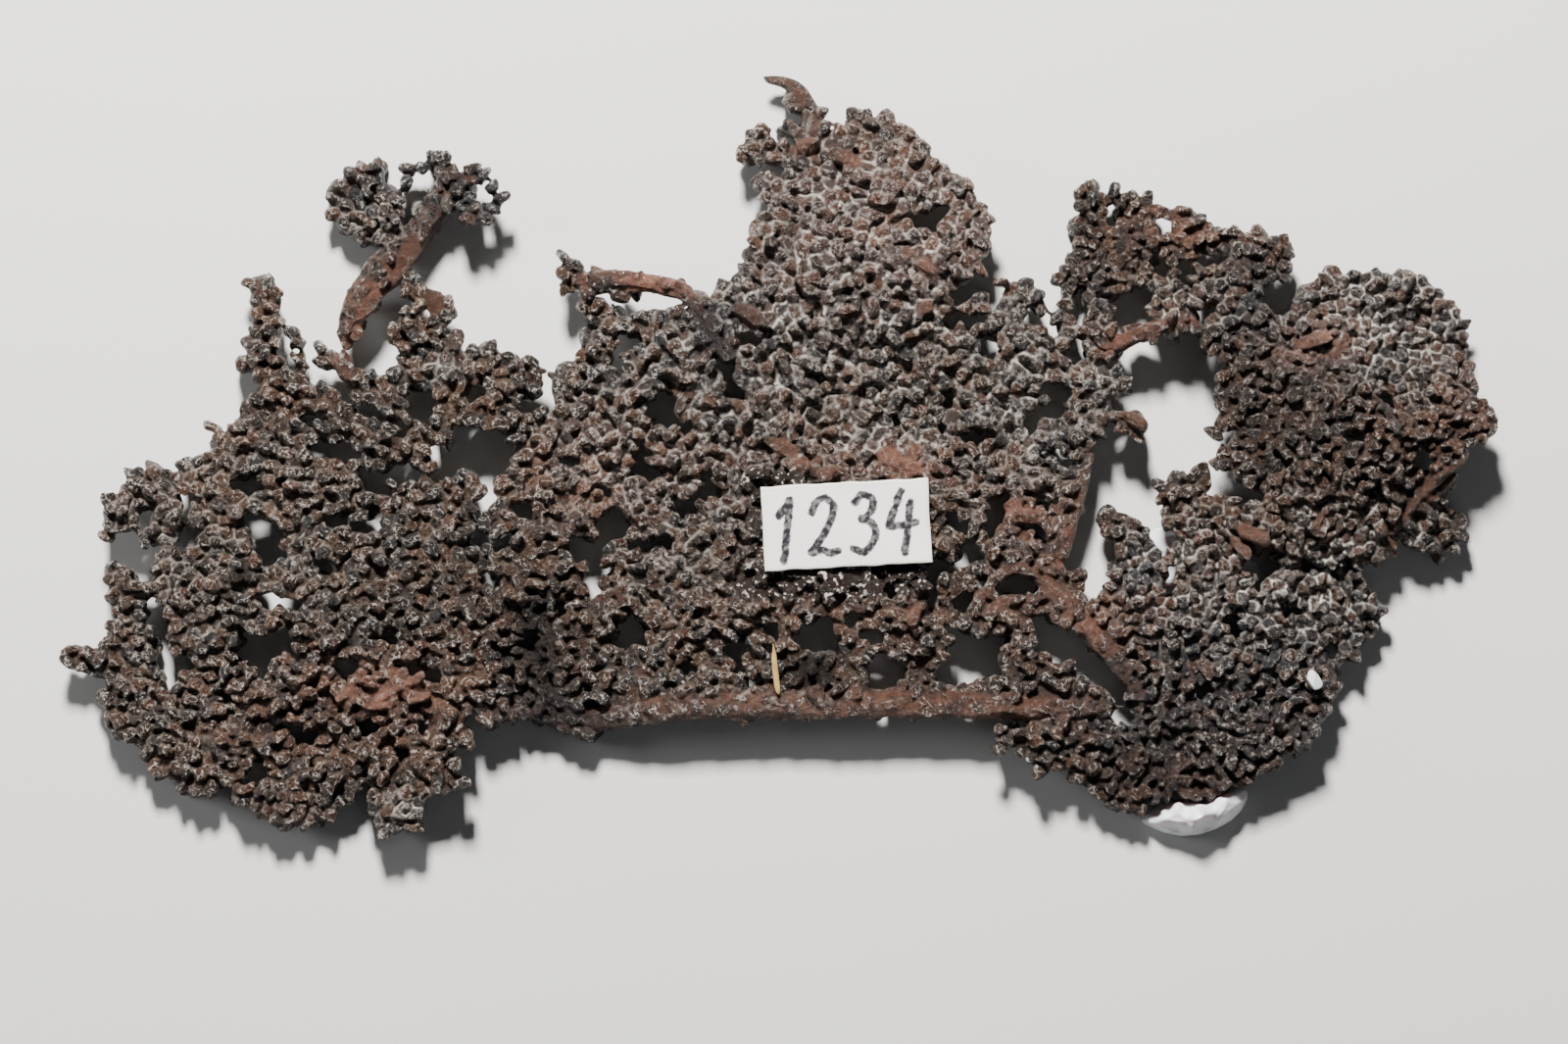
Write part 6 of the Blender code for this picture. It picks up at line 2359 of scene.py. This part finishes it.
@dataclass
class Stage:
    """The floor, the studio light and the camera."""

    aim: tuple[float, float, float] = (0.76, -6.24, 3.0)
    distance: float = 400.0
    frame_width: float = 152.4
    sensor: float = 36.0
    floor_size: float = 1000.0
    floor_drop: float = 0.02
    floor_tones: tuple[Colour, Colour] = ((0.72, 0.72, 0.71), (0.76, 0.76, 0.75))
    room_tone: Colour = (0.96, 0.97, 1.0)
    room_light: float = 0.04
    room_seen: float = 0.72

    def floor(self) -> None:
        """A plain pale floor under the leaf."""
        half, z = self.floor_size / 2, -self.floor_drop
        verts = np.array([(-half, -half, z), (half, -half, z), (half, half, z), (-half, half, z)])
        mesh = build_mesh("floor", verts, np.array([[0, 1, 2, 3]]), np.empty((0, 3), int))
        material, tree, shader = new_material("pale floor")
        speck = tree.noise(tree.place(), 60.0, 2.0)
        feed(shader, {"Base Color": tree.mix(speck, *self.floor_tones)})
        shader.inputs["Roughness"].default_value = 0.7
        mesh.materials.append(material)
        made = add_object("floor", mesh)

    def light(self, lamp: Lamp) -> None:
        """An area light that faces the leaf.

        Args:
            lamp: What it is and where it stands.
        """
        shone = bpy.data.lights.new(lamp.name, "AREA")
        shone.size = lamp.size * MM
        shone.energy = lamp.power
        shone.color = lamp.tone
        held = bpy.data.objects.new(lamp.name, shone)
        held.location = Vector(lamp.place) * MM
        held.rotation_euler = (
            Vector(self.aim) - Vector(lamp.place)
        ).to_track_quat("-Z", "Y").to_euler()
        bpy.context.scene.collection.objects.link(held)

    def camera(self) -> None:
        """A camera straight above the leaf."""
        lens = bpy.data.cameras.new("camera")
        lens.sensor_width = self.sensor
        lens.lens = self.sensor * self.distance / self.frame_width
        lens.clip_start = 0.01
        held = bpy.data.objects.new("camera", lens)
        held.location = (self.aim[0] * MM, self.aim[1] * MM, (self.aim[2] + self.distance) * MM)
        bpy.context.scene.collection.objects.link(held)
        bpy.context.scene.camera = held

    def build(self) -> None:
        """Sets the floor, the lights, the world and the camera."""
        self.floor()
        for lamp in LAMPS:
            self.light(lamp)
        world = bpy.data.worlds.new("soft room")
        world.use_nodes = True
        room = Tree(world.node_tree)
        back = world.node_tree.nodes["Background"]
        back.inputs["Color"].default_value = (*self.room_tone, 1.0)
        seen = room.add("LightPath").outputs["Is Camera Ray"]
        feed(back, {"Strength": room.remap(seen, 0.0, 1.0, self.room_light, self.room_seen)})
        bpy.context.scene.world = world
        self.camera()


# Each branch's fusing grid in millimetres, and the most triangles that it keeps.
FINENESS = {
    Branch.LEFT_FAN: (0.165, 192000), Branch.CROWN_SPRIG: (0.15, 45000),
    Branch.CENTRE_FAN: (0.17, 196000), Branch.BENT_TWIG: (0.15, 22000),
    Branch.RIGHT_ARCH: (0.15, 85000), Branch.RIGHT_HEAD: (0.15, 150000),
    Branch.RIGHT_FOOT: (0.15, 160000),
}


def grow_leaf(material: bpy.types.Material) -> None:
    """Grows every copper branch.

    Args:
        material: The copper.
    """
    plan = Plan()
    grower = Grower(plan)
    top = grower.layer(1.0, lambda points: patched(points, SPACING, 1.24), SEED, True)
    under = grower.layer(
        -1.0, lambda points: np.full(len(points), grower.under_spacing), SEED + 1, False
    )
    nubs = Nubs.joined([top, grower.crumbs(top, SEED + 2), under, grower.flakes(), grower.crust()])
    owners = plan.owner_at(nubs.centres)
    for number, branch in enumerate(Branch):
        piece = CopperBranch(
            branch, number, grower, nubs.chosen(owners == number), *FINENESS[branch]
        )
        made = piece.build(material)
        LOG.info("%s: %d nubs, %d triangles", made.name, len(piece.nubs), len(made.data.polygons))


def main() -> None:
    """Builds the dressed leaf and its stage."""
    logging.basicConfig(level=logging.INFO, format="%(name)s: %(message)s")
    mottle = mottle_group()
    grow_leaf(CopperFinish().make(mottle))
    card = LabelCard().build(CardFinish().make(mottle))
    putty = SoftFinish(
        "white putty", (0.82, 0.83, 0.86), (0.7, 0.71, 0.76), subsurface=0.25, grain=2.5
    ).make(mottle)
    straw = SoftFinish("straw", (0.62, 0.44, 0.16), (0.36, 0.21, 0.06), (0.4, 0.6)).make(mottle)
    lumps = [
        PuttyLump("mounting_putty", 3.3, 0.5, SEED + 51).build(putty),
        PuttyLump("rear_putty", 1.1, 0.1, SEED + 52).build(putty),
        Scrap(
            "straw_splinter", (-0.1, -20.4, 4.75), (0.32, 2.25, 0.16), 7.0, "label_paper", 0.5
        ).build(straw),
        Scrap("putty_crumb", (52.0, -21.5, 4.9), (0.75, 0.9, 0.5), 20.0, "putty").build(putty),
    ]
    for piece in (card, *lumps):
        LOG.info("%s: %d faces", piece.name, len(piece.data.polygons))
    Stage().build()


if __name__ == "__main__":
    main()
